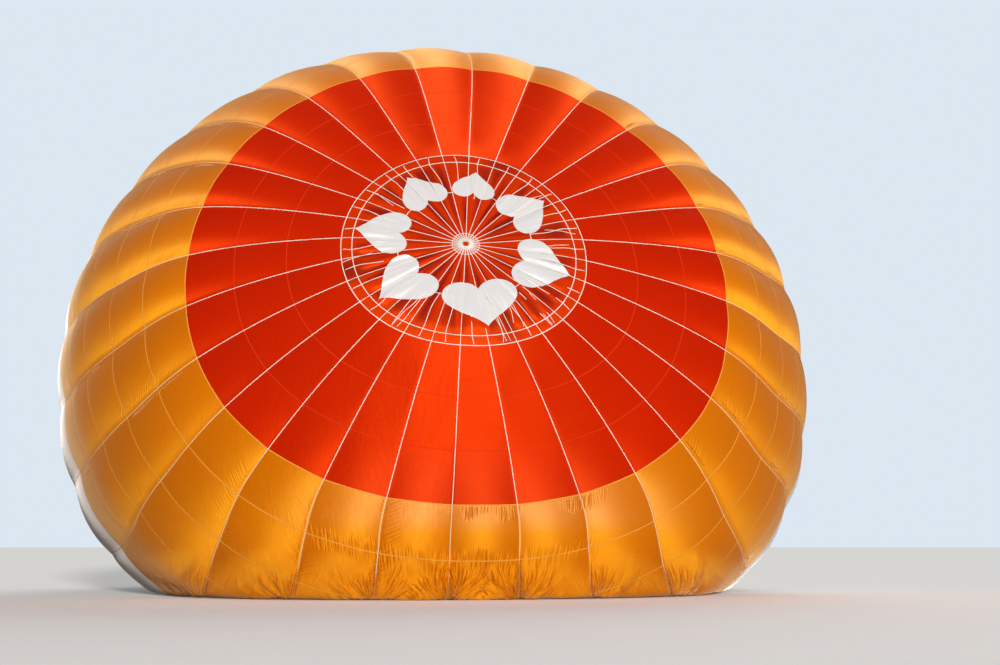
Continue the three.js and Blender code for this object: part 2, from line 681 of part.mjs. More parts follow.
// Karabiners through the lugs
function karabinerGeometry() {
  const thickness = 2 * KARABINER.rod;
  const { width, length } = KARABINER;
  const eyeWidth = width - 2 * thickness;
  const body = slab(roundedOutline(width, length, width / 2 - 0.5), -KARABINER.rod, KARABINER.rod, 0, 3);
  const eye = slab(roundedOutline(eyeWidth, length - 2 * thickness, eyeWidth / 2 - 0.5), -thickness, thickness, 0, 3);
  return fromManifold(cutFrom(toManifold(body), [eye])).rotateX(Math.PI / 2);
}

// The near end of the karabiner's eye bears on the far side of the lug's hole. Both are round, so
// the flat-sided bar and plate meet them below their tops, and facets take a little more.
const FACET_ALLOWANCE = 0.6;
const eyeRadius = KARABINER.width / 2 - 2 * KARABINER.rod - 0.5;
const holeRiseAtBar = Math.sqrt(LUG.hole ** 2 - KARABINER.rod ** 2);
const eyeDropAtLug = eyeRadius - Math.sqrt(eyeRadius ** 2 - (LUG.thickness / 2) ** 2);
const eyeBottom = frameTop + LUG.holeRise + holeRiseAtBar - eyeDropAtLug - GAP - FACET_ALLOWANCE;
const karabinerMiddle = eyeBottom - 2 * KARABINER.rod + KARABINER.length / 2;
for (const [sx, sy, number] of corners) {
  const karabiner = addMesh(basket, `karabiner_${number}`, karabinerGeometry(), MATERIALS.steel);
  karabiner.position.set(sx * lugX, sy * lugY, karabinerMiddle);
}

// Flying wires, seven to each karabiner, from a thimble on its far bar to the mouth's tapes
const barBottom = karabinerMiddle + KARABINER.length / 2 - 2 * KARABINER.rod;
const thimbleReach = Math.sqrt((THIMBLE.ring - THIMBLE.tube) ** 2 - KARABINER.rod ** 2);
const thimbleMiddle = barBottom + thimbleReach - 2 * FACET_ALLOWANCE;

function thimbleAt(centre) {
  const profile = [];
  for (let k = 0; k <= 6; k++) {
    const turn = (2 * Math.PI * k) / 6;
    profile.push(new THREE.Vector2(THIMBLE.ring + THIMBLE.tube * Math.cos(turn), THIMBLE.tube * Math.sin(turn)));
  }
  return new THREE.LatheGeometry(profile, ROUND_SIDES).rotateZ(Math.PI / 2).translate(...centre.toArray());
}

// Each wire leaves the yoke at its own place and ends just outside the mouth's edge, at its tape.
const mouthArc = MOUTH_BAND_ARCS[MOUTH_BAND_ARCS.length - 1];

function mouthEnd(gore) {
  const alongEdge = smoothPoint(mouthArc, gore + 0.2).sub(smoothPoint(mouthArc, gore - 0.2));
  const outOfMouth = smoothNormal(mouthArc, gore).cross(alongEdge).normalize();
  return { end: fabricPoint(mouthArc, gore, FABRIC / 2, false), outOfMouth };
}

function wireBetween(start, { end, outOfMouth }) {
  const slope = start.clone().sub(end).angleTo(outOfMouth);
  const clearance = 3 * GAP + WIRE_RADIUS * Math.sin(slope);
  return rodBetween(start, end.clone().addScaledVector(outOfMouth, clearance), WIRE_RADIUS, 6);
}

for (const [sx, sy, number] of corners) {
  const ends = [];
  for (let k = 0; k < SECTOR_GORES; k++) ends.push(mouthEnd((number - 1) * SECTOR_GORES + k));
  ends.sort((a, b) => a.end.x - b.end.x);
  const thimble = basket.localToWorld(new THREE.Vector3(sx * lugX, sy * lugY, thimbleMiddle));
  const yoke = thimble.clone().setY(thimble.y - THIMBLE.ring - YOKE.height / 2 + 2);
  const wires = ends.map((wireEnd, k) => {
    const start = yoke.clone().setX(yoke.x + (k - (SECTOR_GORES - 1) / 2) * YOKE.spacing);
    return wireBetween(start, wireEnd);
  });
  const yokeBar = boxAt(SECTOR_GORES * YOKE.spacing, YOKE.height, YOKE.depth, ...yoke.toArray());
  addMesh(balloon, `flying_wires_${number}`, fromManifold(joined([thimbleAt(thimble), yokeBar, ...wires])),
    MATERIALS.steel);
}

export default balloon;
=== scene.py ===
import functools
import math

import bmesh
import bpy
import numpy as np
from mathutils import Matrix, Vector
from mathutils.geometry import delaunay_2d_cdt


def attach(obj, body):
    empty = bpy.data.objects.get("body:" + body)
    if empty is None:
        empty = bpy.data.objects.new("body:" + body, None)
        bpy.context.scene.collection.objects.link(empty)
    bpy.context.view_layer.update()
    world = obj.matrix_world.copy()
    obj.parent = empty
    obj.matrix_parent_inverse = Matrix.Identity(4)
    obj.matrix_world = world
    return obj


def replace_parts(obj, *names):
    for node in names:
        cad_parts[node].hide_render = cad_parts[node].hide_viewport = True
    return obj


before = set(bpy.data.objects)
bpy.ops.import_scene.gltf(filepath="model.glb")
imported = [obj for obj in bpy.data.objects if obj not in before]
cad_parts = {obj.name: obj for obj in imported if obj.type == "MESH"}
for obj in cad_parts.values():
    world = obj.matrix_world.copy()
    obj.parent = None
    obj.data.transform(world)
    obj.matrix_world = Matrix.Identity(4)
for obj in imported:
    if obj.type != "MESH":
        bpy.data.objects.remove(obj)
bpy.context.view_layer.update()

TURN = 2 * math.pi

# Envelope
GORES = 28
SECTOR_GORES = 7
BOTTOM_TAPE_SHIFT = 0.22
TAPE_CROWDING = 0.004
GROUND_GATHER = 0.021  # share of a ring by which tapes draw together where they meet the ground
GATHER_HEIGHT = 3.3  # height at which they start to
GORE_BULGE = 0.065
BULGE_STARTS = 3.5
BULGE_FULL = 9.5
FLOOR_SOFTNESS = 0.16
CLOTH = 0.004
ENVELOPE_END = 36.0
BORDER = 8.0  # arc of the seam between red and yellow
MOUTH_BAND = 33.5

# Rings of the envelope from crown to mouth, as in the solid model: arc, x, y, z, tilt, roll, half width,
# reach upwards and downwards, squareness
RINGS = [
    [0, 0, 0, 10, 0.39, 0.03, 0, 0, 0, 2.1],
    [3.5, 0, 0.2, 9.8, 0.39, 0.03, 3.55, 3.45, 3.1, 2.2],
    [8, 0.15, 1.75, 9.15, 0.3, 0.02, 8, 7.65, 6.85, 2.25],
    [11, 0.2, 3.75, 8.65, 0.29, 0.01, 10.25, 9.6, 9.35, 2.2],
    [14, 0.3, 6.3, 8, 0.28, -0.01, 11.8, 10.75, 10.65, 2.15],
    [19, 0.5, 11.1, 7.2, 0.28, 0, 12.8, 11.2, 10.3, 2.3],
    [24, 0.25, 15.6, 5.5, 0.28, 0, 11.65, 10.7, 7.45, 2.35],
    [29, 0, 19.5, 4.1, 0.23, 0, 8.75, 7.9, 4.9, 2.3],
    [33, 0, 21.9, 3.2, 0.07, 0, 5.5, 4.8, 3.45, 2.1],
    [36, 0, 23.1, 2.52, -0.19, 0, 2.8, 2.5, 2.5, 2],
]

# Bands of fabric: arcs of the seams, step between mesh rows, and columns in a gore near the ground
BANDS = [
    {"name": "crown_red", "look": "red", "seams": [3.5, 5.0, 6.5, 8.0], "step": 0.09, "near": 18},
    {"name": "shoulder_yellow", "look": "yellow", "seams": [8.0, 9.5, 11.0, 12.5, 14.0, 15.5], "step": 0.09,
     "near": 36},
    {"name": "body_white", "look": "white", "seams": [15.5, 17.5, 19.5, 21.5, 23.5], "step": 0.2, "near": 12},
    {"name": "lower_white", "look": "white", "seams": [23.5, 26.0, 28.5, 31.0, 33.5], "step": 0.21,
     "near": 12},
    {"name": "mouth_band", "look": "mouth", "seams": [33.5, 34.75, 36.0], "step": 0.125, "near": 12},
]
COLUMNS_ALOFT = 12
FINE_GORES = 4  # gores to each side of the bottom whose creases are modelled finely
SEAM_GAP = 0.00015
SEAM_WIDTHS = {"red": 0.022, "yellow": 0.03, "white": 0.03}

# Vent in the crown
CROWN_RING_RADIUS = 0.105
CROWN_RING_THICK = 0.0105
HUB_OUTER = 0.3
HUB_TAPE_ARC = 0.385
VENT_EDGE = 3.5
PARACHUTE_EDGE = 3.8
PARACHUTE_RING = 3.16
PARACHUTE_DEPTH = 0.0146
TAPE_WIDTH = 0.023
VENT_TAPE_WIDTH = 0.018
TAPE_THICKNESS = 0.003
LOOP_WIDTH = 0.036
LOOP_ARCS = [0.084, 0.09, 0.105, 0.12, 0.135]
LOOP_LIFTS = [0.002, 0.011, 0.0145, 0.011, 0.003]  # how far the loops stand off where they pass over the ring

# Hearts on the parachute: gore of the tip, arcs of the tip and of the lobes, width across the lobes.
HEARTS = [
    [-1.15, 2.87, 1.3, 2.06],
    [3.66, 3.04, 1.42, 1.62],
    [7.5, 3.16, 1.6, 1.52],
    [11.2, 2.96, 1.66, 1.36],
    [14.35, 2.8, 1.74, 1.2],
    [17.7, 3.04, 1.58, 1.54],
    [21.95, 3.06, 1.42, 1.74],
]
HEART_POINTS = 72
TIE_ARC = 1.92  # arc of the short ties between neighbouring hearts

# Slack lines on the parachute: gore, arcs of start and end, and gores of lean
SLACK_LINES = [
    [25.2, 2.1, 3.1, 0.3],
    [25.4, 2.0, 2.9, 0.35],
    [24.3, 2.3, 3.4, 0.2],
    [24.1, 2.3, 3.4, 0.2],
    [26.3, 2.2, 3.4, -0.1],
    [26.45, 2.3, 3.4, -0.1],
    [2.2, 2.0, 3.4, 0.1],
    [2.35, 2.1, 3.4, 0.15],
    [6.1, 2.6, 3.45, -0.2],
    [9.3, 2.4, 3.1, 0.3],
    [17.2, 2.3, 3.1, 0.2],
    [19.4, 2.4, 3.3, 0.3],
    [20.6, 2.2, 3.0, -0.3],
]

# Basket and burners, in the basket's own upright frame: x along it, y over its depth, z from its underside
GAP = 0.0003
BASKET_LENGTH = 3.6
BASKET_DEPTH = 1.6
BASKET_HEIGHT = 1.15
BASKET_UNDERSIDE = 29.8
WALL = 0.036
WALL_TOP = 1.08
FLOOR_TOP = 0.063
RIM_OVERHANG = 0.022
RIM_HALF_WIDTH = 0.0398
RIM_HALF_HEIGHT = 0.0345
RIM_MIDDLE = (WALL_TOP + GAP + BASKET_HEIGHT) / 2
LACING_STEP = 0.14
PARTITION = 0.034
PARTITION_TOP = 1.01
PILOT_BAY = 1.18
WEAVE_ROW = 0.03
WEAVE_PITCH = 0.085
WEAVE_RELIEF = 0.005
FOOTHOLD_WIDTH = 0.24
FOOTHOLD_HEIGHT = 0.11
FOOTHOLDS = [(side * x, z) for side in (-1, 1) for x, z in ((0.85, 0.64), (1.45, 0.33))]
SKIRT_TOP = 0.21
CORNERS = [(-1, -1, 1), (-1, 1, 2), (1, 1, 3), (1, -1, 4)]
CYLINDER_RADIUS = 0.18
CYLINDER_HEIGHT = 0.86
FRAME_LENGTH = 1.3
FRAME_DEPTH = 1.0
FRAME_BOTTOM = 2.05
BURNER_OFFSET = 0.165
BURNER_RADIUS = 0.128
BURNER_BOTTOM = 2.1053
BURNER_HEIGHT = 0.33
UPRIGHT_FOOT = (1.15, 0.745)
UPRIGHT_RADIUS = 0.032

# Smooth numbers in place of chance, the same in every run
NOISE_SIDE = 256


@functools.cache
def noise_table(seed):
    return np.random.default_rng(seed).uniform(-1, 1, (NOISE_SIDE, NOISE_SIDE))


def blend(a, b, share):
    return a * (1 - share) + b * share


def noise(u, v, seed):
    """Smooth noise from -1 to 1 over a plane, one swing for each unit."""
    table = noise_table(seed)
    i, j = np.floor(u).astype(int), np.floor(v).astype(int)
    s, t = ease(u - i, 0, 1), ease(v - j, 0, 1)
    at = lambda a, b: table[(i + a) % NOISE_SIDE, (j + b) % NOISE_SIDE]
    return blend(blend(at(0, 0), at(1, 0), s), blend(at(0, 1), at(1, 1), s), t)


def ridges(u, v, seed):
    """Noise with sharp crests, from 0 to 1."""
    return 1 - np.abs(noise(u, v, seed))


def ease(x, start, end):
    t = np.clip((x - start) / (end - start), 0, 1)
    return t * t * (3 - 2 * t)


def fade(x, start, end):
    return 1 - ease(x, start, end)


def unit(vectors):
    return vectors / np.maximum(np.linalg.norm(vectors, axis=-1, keepdims=True), 1e-9)


def way_along(lines):
    """How far each point of a line is from its start. Lines run along the last axis but one."""
    steps = np.linalg.norm(np.diff(lines, axis=-2), axis=-1)
    return np.concatenate([np.zeros_like(steps[..., :1]), np.cumsum(steps, axis=-1)], axis=-1)


def join(*parts):
    """Arrays as the last axis of one array."""
    return np.stack(np.broadcast_arrays(*parts), axis=-1)


def circle(count):
    return np.linspace(0, TURN, count, endpoint=False)


def around(radius, turn):
    return join(radius * np.cos(turn), radius * np.sin(turn))


# Smooth envelope, held on a fine grid of arcs and gores
GRID_ARC_STEP = 0.05
GRID_GORE_PARTS = 56
OUTLINE_STEPS = 1440


def rings_at(arcs):
    """The ring table's columns at any arcs, by cubic pieces through its rows."""
    table = np.array(RINGS, float)
    knots = table[:, 0]
    i = np.clip(np.searchsorted(knots, arcs, side="left") - 1, 0, len(knots) - 2)
    span = (knots[i + 1] - knots[i])[:, None]
    t = (arcs - knots[i])[:, None] / span
    change = np.append(table[1:], table[-1:], axis=0) - np.append(table[:1], table[:-1], axis=0)
    slopes = change / change[:, :1]
    start = table[i] * (2 * t**3 - 3 * t**2 + 1) + slopes[i] * span * (t**3 - 2 * t**2 + t)
    end = table[i + 1] * (3 * t**2 - 2 * t**3) + slopes[i + 1] * span * (t**3 - t**2)
    return (start + end).T[:, :, None]


def smooth_grid(arcs, gores):
    """Points of the smooth envelope for every arc and every gore, and the lengths of its rings."""
    _, x, y, z, tilt, roll, half_width, up, down, squareness = rings_at(arcs)
    turn = np.linspace(0, TURN, OUTLINE_STEPS + 1)
    s, c = np.sin(turn), np.cos(turn)
    power = np.where(c > 0, 2 / squareness, 1)
    across = -half_width * np.sign(s) * np.abs(s) ** power
    rise = -np.where(c > 0, down, up) * np.sign(c) * np.abs(c) ** power
    height = rise * np.cos(roll) - across * np.sin(roll)
    upright = z + height * np.cos(tilt)
    on_floor = (upright + np.hypot(upright, FLOOR_SOFTNESS)) / 2
    aside = x + across * np.cos(roll) + rise * np.sin(roll)
    outlines = join(aside, y + height * np.sin(tilt), on_floor)
    ways = way_along(outlines)
    even = (gores + BOTTOM_TAPE_SHIFT) / GORES % 1
    share = even + TAPE_CROWDING * np.sin(2 * TURN * even)
    gather = GROUND_GATHER * np.sin(TURN * even) * np.cos(np.pi * even) ** 2
    front = ease(arcs, 8.0, 9.5) * fade(arcs, 14.0, 19.0)
    points = np.empty((len(arcs), len(gores), 3))
    for row, (outline, way) in enumerate(zip(outlines, ways)):
        low = np.maximum(1 - np.interp(share * way[-1], way, outline[:, 2]) / GATHER_HEIGHT, 0) ** 1.6
        goal = (share - gather * front[row] * low) * way[-1]
        for axis in range(3):
            points[row, :, axis] = np.interp(goal, way, outline[:, axis])
    return points, ways[:, -1]


def surface_normals(points):
    """Outward normals of a grid whose columns go once round."""
    right = np.roll(points, -8, axis=1) - np.roll(points, 8, axis=1)
    normals = unit(np.cross(right, np.gradient(points, axis=0)))
    hub = round(HUB_OUTER / GRID_ARC_STEP)
    normals[:hub] = normals[hub].mean(axis=0)
    return unit(normals)


grid_arcs = np.arange(0, ENVELOPE_END + GRID_ARC_STEP / 2, GRID_ARC_STEP)
grid_gores = np.arange(GORES * GRID_GORE_PARTS) / GRID_GORE_PARTS
grid_points, grid_lengths = smooth_grid(np.maximum(grid_arcs, 1e-6), grid_gores)
grid_normals = surface_normals(grid_points)


def from_grid(grid, arcs, gores):
    """Values of the fine grid at any arcs and gores of one shape."""
    u = np.clip(arcs / GRID_ARC_STEP, 0, len(grid_arcs) - 1.001)
    v = (gores % GORES) * GRID_GORE_PARTS
    i, j = np.floor(u).astype(int), np.floor(v).astype(int)
    s, t = (u - i)[..., None], (v - j)[..., None]
    j, k = j % len(grid_gores), (j + 1) % len(grid_gores)
    return blend(blend(grid[i, j], grid[i, k], t), blend(grid[i + 1, j], grid[i + 1, k], t), s)


def gore_width(arcs):
    return np.interp(arcs, grid_arcs, grid_lengths) / GORES


def smooth_points(arcs, gores):
    return from_grid(grid_points, arcs, gores)


def smooth_normals(arcs, gores):
    return unit(from_grid(grid_normals, arcs, gores))


def height_at(arcs, gores):
    return smooth_points(arcs, gores)[..., 2]


# Fabric between the tapes
TAPE_SEAT = 0.022  # half width of fabric that lies flat under a tape
SEAM_CUT = 0.5  # share of the bulge by which a seam is drawn towards the crown
LOW_SEAM = 9.5  # arc of the seam that the slack cloth gathers along, just above the ground
FAN_HEIGHT = 1.55  # height above the ground that the fans of creases reach
FAN_GORES = 5.5  # gores to each side of the bottom that have them
EDGE_TILT_LOW = -0.14  # how much further the slack cloth beside a tape leans over near the ground
EDGE_TILT_HIGH = 0.28  # and how much further at mid height
EDGE_TILT_TOP = 0.12  # and near the top, where the gores are pulled flat
SAG_TILT = 0.09  # how far the cloth of a gore that lies across the slope faces up more than its tapes
SAG_TILT_TOP = 0.14  # how much further it does so near the top
TOP_STARTS = 10.5  # heights between which the gores change to their form near the top
TOP_FULL = 16.0
TOP_FLATTENING = 0.35  # share of the bulge that is pulled out there
TURNED_UNDER = 0.12  # how much further down the slack cloth faces at the ground
UNDER_HEIGHT = 2.3  # height at which it starts to


def ground_gores(gores):
    """How far a gore is from the bottom of the envelope, counted in gores towards -X."""
    return (gores + GORES / 2 + BOTTOM_TAPE_SHIFT) % GORES - GORES / 2


def side_of_tape(gores):
    """How far a place is from the tape below it, as a share of a gore, and that tape's number."""
    below = np.floor(gores + 1e-9)
    return gores - below, below


def from_tape(arcs, gores):
    """Distance from the nearest tape."""
    between = side_of_tape(gores)[0]
    return np.minimum(between, 1 - between) * gore_width(arcs)


def row_of(seams, arcs):
    """Which row of panels an arc is in."""
    return np.clip(np.searchsorted(seams, arcs, side="right") - 1, 0, len(seams) - 2)


def fan_fields(arcs, gores):
    """Angle, reach, strength and foot of the creases that fan up from the tape at each side of a place."""
    between, tape = side_of_tape(gores)
    height = height_at(arcs, gores)
    place = ground_gores(gores)
    near = fade(np.abs(place), FAN_GORES - 2.5, FAN_GORES) * fade(arcs, 15, 19)
    fields = []
    for side in (0, 1):
        share, foot = between - side, tape + side
        outer = 0.12 + 0.88 * ease(np.sign(share) * place, -0.4, 0.4)
        lively = blend(outer * (0.75 + 0.25 * np.sin(5.3 * foot)), 1, fade(np.abs(place), 0.5, 1.3))
        across = share * gore_width(arcs)
        angle = np.arctan2(across, height + 0.1) + 0.35 * np.sign(across) * height
        reach = np.hypot(across, height)
        top = FAN_HEIGHT * (0.8 + 0.3 * noise(across * 3 + tape, side, 14))
        strength = fade(height, 0.35, top) * fade(np.abs(share), 0.3, 0.9) * ease(reach, 0.02, 0.2)
        fields.append((angle, reach, strength * near * lively, foot))
    return fields


def fans(arcs, gores):
    """How far those creases stand out."""
    push = 0
    for angle, reach, strength, foot in fan_fields(arcs, gores):
        coarse = ridges(angle * 3.5 + foot * 17.3, reach * 0.6 + foot, 11) - 0.5
        middle = ridges(angle * 7 + foot * 17.3, reach * 0.9 + foot, 12) - 0.5
        push = push + strength * (0.07 * coarse + 0.05 * middle)
    return push * ease(from_tape(arcs, gores), 0.01, 0.12)


def crease_fields(arcs, gores):
    """Places and strength of the short creases that leave the tapes at a slant."""
    tape = np.round(gores)
    distance = from_tape(arcs, gores)
    side = np.where(side_of_tape(gores)[0] < 0.5, 1.0, -1.0)
    along = (arcs + 0.6 * distance) / 0.12 + 31 * tape + 7 * side
    beside = ease(distance, TAPE_SEAT, 0.1) * fade(distance, 0.15, 0.7)
    lively = ease(noise(arcs / 0.8, tape * 0.77 + side, 22), 0.15, 0.6)
    return along, beside * lively * (0.2 + 0.8 * ease(arcs, 7.9, 8.3)) * ease(arcs, 3.6, 5.0)


def pucker_field(arcs, gores):
    """Strength of the short folds that hang from the border near the bottom, and cross the seam below."""
    place = ground_gores(gores)
    end = 8.45 + 0.25 * noise(gores * 7, 0.5, 32)
    below = ease(arcs, BORDER, BORDER + 0.06) * fade(arcs, end - 0.25, end)
    patchy = ease(noise(gores * 3.1, 0.5, 33), -0.3, 0.4)
    border = 0.5 * below * patchy * fade(np.abs(place + 0.7), 0.7, 2.2)
    start = LOW_SEAM - 0.2 - 0.2 * noise(gores * 9, 1.5, 34)
    end = LOW_SEAM + 0.3 + 0.25 * noise(gores * 6, 2.5, 35)
    across = ease(arcs, start - 0.15, start + 0.15) * fade(arcs, end - 0.25, end + 0.05)
    uneven = 0.5 + 0.5 * ease(noise(gores * 2.3, 0.5, 36), -0.4, 0.3)
    return border + 0.36 * across * uneven * fade(np.abs(place - 0.3), 1.4, 2.8)


def tilt_field(arcs, gores):
    """How much further than the mesh the taut fabric leans over towards the tape beside it."""
    height = height_at(arcs, gores)
    place = ground_gores(gores)
    top = ease(height, TOP_STARTS, TOP_FULL)
    edge = blend(EDGE_TILT_LOW, EDGE_TILT_HIGH, ease(height, 4, 12))
    sag = SAG_TILT * np.sin(np.pi * place / 14) * ease(height, 1, 5)
    sag = sag + SAG_TILT_TOP * top * np.sign(place) * ease(14 - np.abs(place), 0, 1.2)
    lean = blend(edge, EDGE_TILT_TOP, top) * (2 * side_of_tape(gores)[0] - 1) + sag
    lean = lean * ease(from_tape(arcs, gores), 0.01, 0.12)
    return lean * ease(arcs, 3.5, 4.5) * ease(height, -0.5, 1.5)


def gore_crown(arcs, gores):
    """How full the cloth stands between its tapes, from 0 to 1."""
    seat = TAPE_SEAT / gore_width(arcs)
    share = np.clip((side_of_tape(gores)[0] - seat) / (1 - 2 * seat), 0, 1)
    grown = ease(arcs, BULGE_STARTS, BULGE_FULL) * (1 - 0.3 * ease(arcs, 11, 15))
    height = height_at(arcs, gores)
    flattened = 1 - TOP_FLATTENING * ease(height, TOP_STARTS, TOP_FULL)
    return 4 * share * (1 - share) * grown * ease(height, 0.2, 1.5) * flattened


def gore_push(arcs, gores):
    """How far the fabric stands out from the smooth envelope."""
    between, below = side_of_tape(gores)
    seams = np.array(sorted({arc for band in BANDS for arc in band["seams"]}))
    row = row_of(seams, arcs)
    along = np.clip((arcs - seams[row]) / (seams[row + 1] - seams[row]), 0, 1)
    pillow = 0.016 * np.sqrt(np.maximum(4 * along * (1 - along), 0))
    sway = 0.02 * noise(arcs / 2.3, below * 5.1 + between * 0.8, 41)
    full = (GORE_BULGE * gore_width(arcs) + pillow + sway) * gore_crown(arcs, gores)
    slack = 0.05 * noise(gores * 1.9, arcs / 2.4, 42) * ease(arcs, 26, 33) * 4 * between * (1 - between)
    return full + slack + fans(arcs, gores)


def fabric_points(arcs, gores, offset=0.0):
    """Points of the fabric. Seams across a gore are cut with a curve, so the bulge leaves them even."""
    bulge = GORE_BULGE * gore_width(arcs) * gore_crown(arcs, gores)
    points = smooth_points(arcs - SEAM_CUT * bulge * fade(arcs, 30, 34), gores)
    points = points + smooth_normals(arcs, gores) * (gore_push(arcs, gores) + offset)[..., None]
    points[..., 2] = np.maximum(points[..., 2], 0.002 + np.minimum(offset + CLOTH, 0.01))
    return points


def fabric_fields(arcs, gores):
    """What the fabric's materials need at each vertex to draw the fine creases, lean the shading normal, and
    paint shade and highlights.
    """
    fields = {}
    for side, (angle, reach, strength, foot) in enumerate(fan_fields(arcs, gores)):
        fields[f"fan_angle_{side}"] = angle + foot * 3.7
        fields[f"fan_reach_{side}"] = reach
        fields[f"fan_strength_{side}"] = strength
    fields["crease_place"], fields["crease_strength"] = crease_fields(arcs, gores)
    fields["tilt"] = tilt_field(arcs, gores)
    height = height_at(arcs, gores)
    place = ground_gores(gores)
    # Painted highlight: the shine's tint turns paler towards the top, and on a sunlit patch low in front.
    sunlit = ease(height, 1.7, 2.4) * fade(height, 3, 4.5) * fade(np.abs(place + 0.5), 1, 3.5)
    fields["painted_pale_highlight"] = 0.5 * ease(height, 8, 18) + 0.4 * sunlit
    # Near the ground: the shading normal leans down, and painted shade is laid on.
    fields["under"] = fade(height, 0.2, UNDER_HEIGHT)
    fields["pucker"] = pucker_field(arcs, gores)
    fields["pucker_place"] = place * gore_width(arcs)
    return fields


# Meshes
def make_object(name, vertices, faces, look, uvs, fields=None, body="balloon", outward=False):
    """A mesh object that rides on a body. Faces is a list of arrays."""
    slot, material = LOOKS[look]
    mesh = bpy.data.meshes.new(name)
    mesh.from_pydata(vertices, [], [face for group in faces for face in group.tolist()])
    mesh.shade_smooth()
    corners = np.concatenate([group.ravel() for group in faces])
    mesh.uv_layers.new(name="flat").data.foreach_set("uv", np.asarray(uvs, np.float32)[corners].ravel())
    for field, values in (fields or {}).items():
        attribute = mesh.attributes.new(field, "FLOAT", "POINT")
        attribute.data.foreach_set("value", np.asarray(values, np.float32))
    mesh.validate()
    if outward:
        built = bmesh.new()
        built.from_mesh(mesh)
        bmesh.ops.recalc_face_normals(built, faces=built.faces)
        built.to_mesh(mesh)
        built.free()
    mesh.set_sharp_from_angle(angle=math.radians(35))
    mesh.materials.append(material)
    piece = add_to_scene(name, mesh)
    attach(piece, body)
    return piece


def add_to_scene(name, data):
    thing = bpy.data.objects.new(name, data)
    bpy.context.scene.collection.objects.link(thing)
    return thing


def grid_faces(rows, columns):
    """Quads over a grid of vertices numbered row by row."""
    number = np.arange(rows * columns).reshape(rows, columns)
    return join(number[:-1, :-1], number[:-1, 1:], number[1:, 1:], number[1:, :-1]).reshape(-1, 4)


def double_layer(name, outer, inner, faces, flat, look, fields, body="balloon"):
    """A closed thin sheet from faces between two layers of points. A field may be a pair, one for each."""
    outer, inner, flat = outer.reshape(-1, 3), inner.reshape(-1, 3), flat.reshape(-1, 2)
    used = np.unique(faces)
    count = len(used)
    top = np.searchsorted(used, faces)
    sides = join(top, np.roll(top, -1, axis=1)).reshape(-1, 2)
    backwards = sides[:, 1] * count + sides[:, 0]
    a, b = sides[~np.isin(sides[:, 0] * count + sides[:, 1], backwards)].T
    walls = join(b, a, a + count, b + count)
    pairs = {field: v if isinstance(v, tuple) else (v, v) for field, v in fields.items()}
    both = {field: np.concatenate([v.ravel()[used] for v in pair]) for field, pair in pairs.items()}
    vertices = np.concatenate([outer[used], inner[used]])
    uvs = np.concatenate([flat[used], flat[used]])
    return make_object(name, vertices, [top, top[:, ::-1] + count, walls], look, uvs, both, body)


def make_tubes(name, tubes, look, body="balloon", outward=False):
    """Tubes in one object, each with rings of points, how far each ring is along, and if it closes on itself.
    The others end in flat caps."""
    vertices, faces, uvs = [], [], []
    start = 0
    for rings, along, closed in tubes:
        rows, columns = rings.shape[:2]
        number = np.arange(rows * columns).reshape(rows, columns) + start
        behind, ahead = (number, np.roll(number, -1, axis=0)) if closed else (number[:-1], number[1:])
        quads = join(behind, np.roll(behind, -1, axis=1), np.roll(ahead, -1, axis=1), ahead)
        faces.append(quads.reshape(-1, 4))
        if not closed:
            faces += [number[:1, ::-1], number[-1:]]
        uvs.append(join(np.arange(columns) / columns, along[:, None]).reshape(-1, 2))
        vertices.append(rings.reshape(-1, 3))
        start += rows * columns
    return make_object(name, np.concatenate(vertices), faces, look, np.concatenate(uvs), None, body, outward)


def from_basket(points):
    """Points in the basket's frame as points in the scene."""
    x, y, z = np.moveaxis(points, -1, 0)
    return join(x, BASKET_UNDERSIDE - z, y + BASKET_DEPTH / 2 + RIM_OVERHANG)


def make_parts(name, parts, look, body="balloon"):
    """Tubes given as rings in the basket's frame. One whose last ring is its first closes on itself."""
    tubes = []
    for rings in parts:
        closed = np.allclose(rings[0], rings[-1])
        rings = from_basket(rings[:-1] if closed else rings)
        tubes.append((rings, way_along(rings[:, 0]), closed))
    return make_tubes(name, tubes, look, body, outward=True)


def closing(rings):
    """The same rings with the first one again at the end."""
    return np.concatenate([rings, rings[:1]])


def mesh_grid(arcs, gores):
    return np.meshgrid(arcs, gores, indexing="ij")


def between_marks(marks, step):
    """Values through all marks, with no step above the given one."""
    values = []
    for start, end in zip(marks[:-1], marks[1:]):
        values.append(np.linspace(start, end, math.ceil((end - start) / step - 1e-6), endpoint=False))
    return np.concatenate([*values, marks[-1:]])


# Materials
THREAD_IOR = 3.2  # the threads across a gore throw a broad shine along it
THREAD_STEP = 0.006
TAPE_RIB = 0.0022
SHADED_RED = (0.2, 0.004, 0.006)


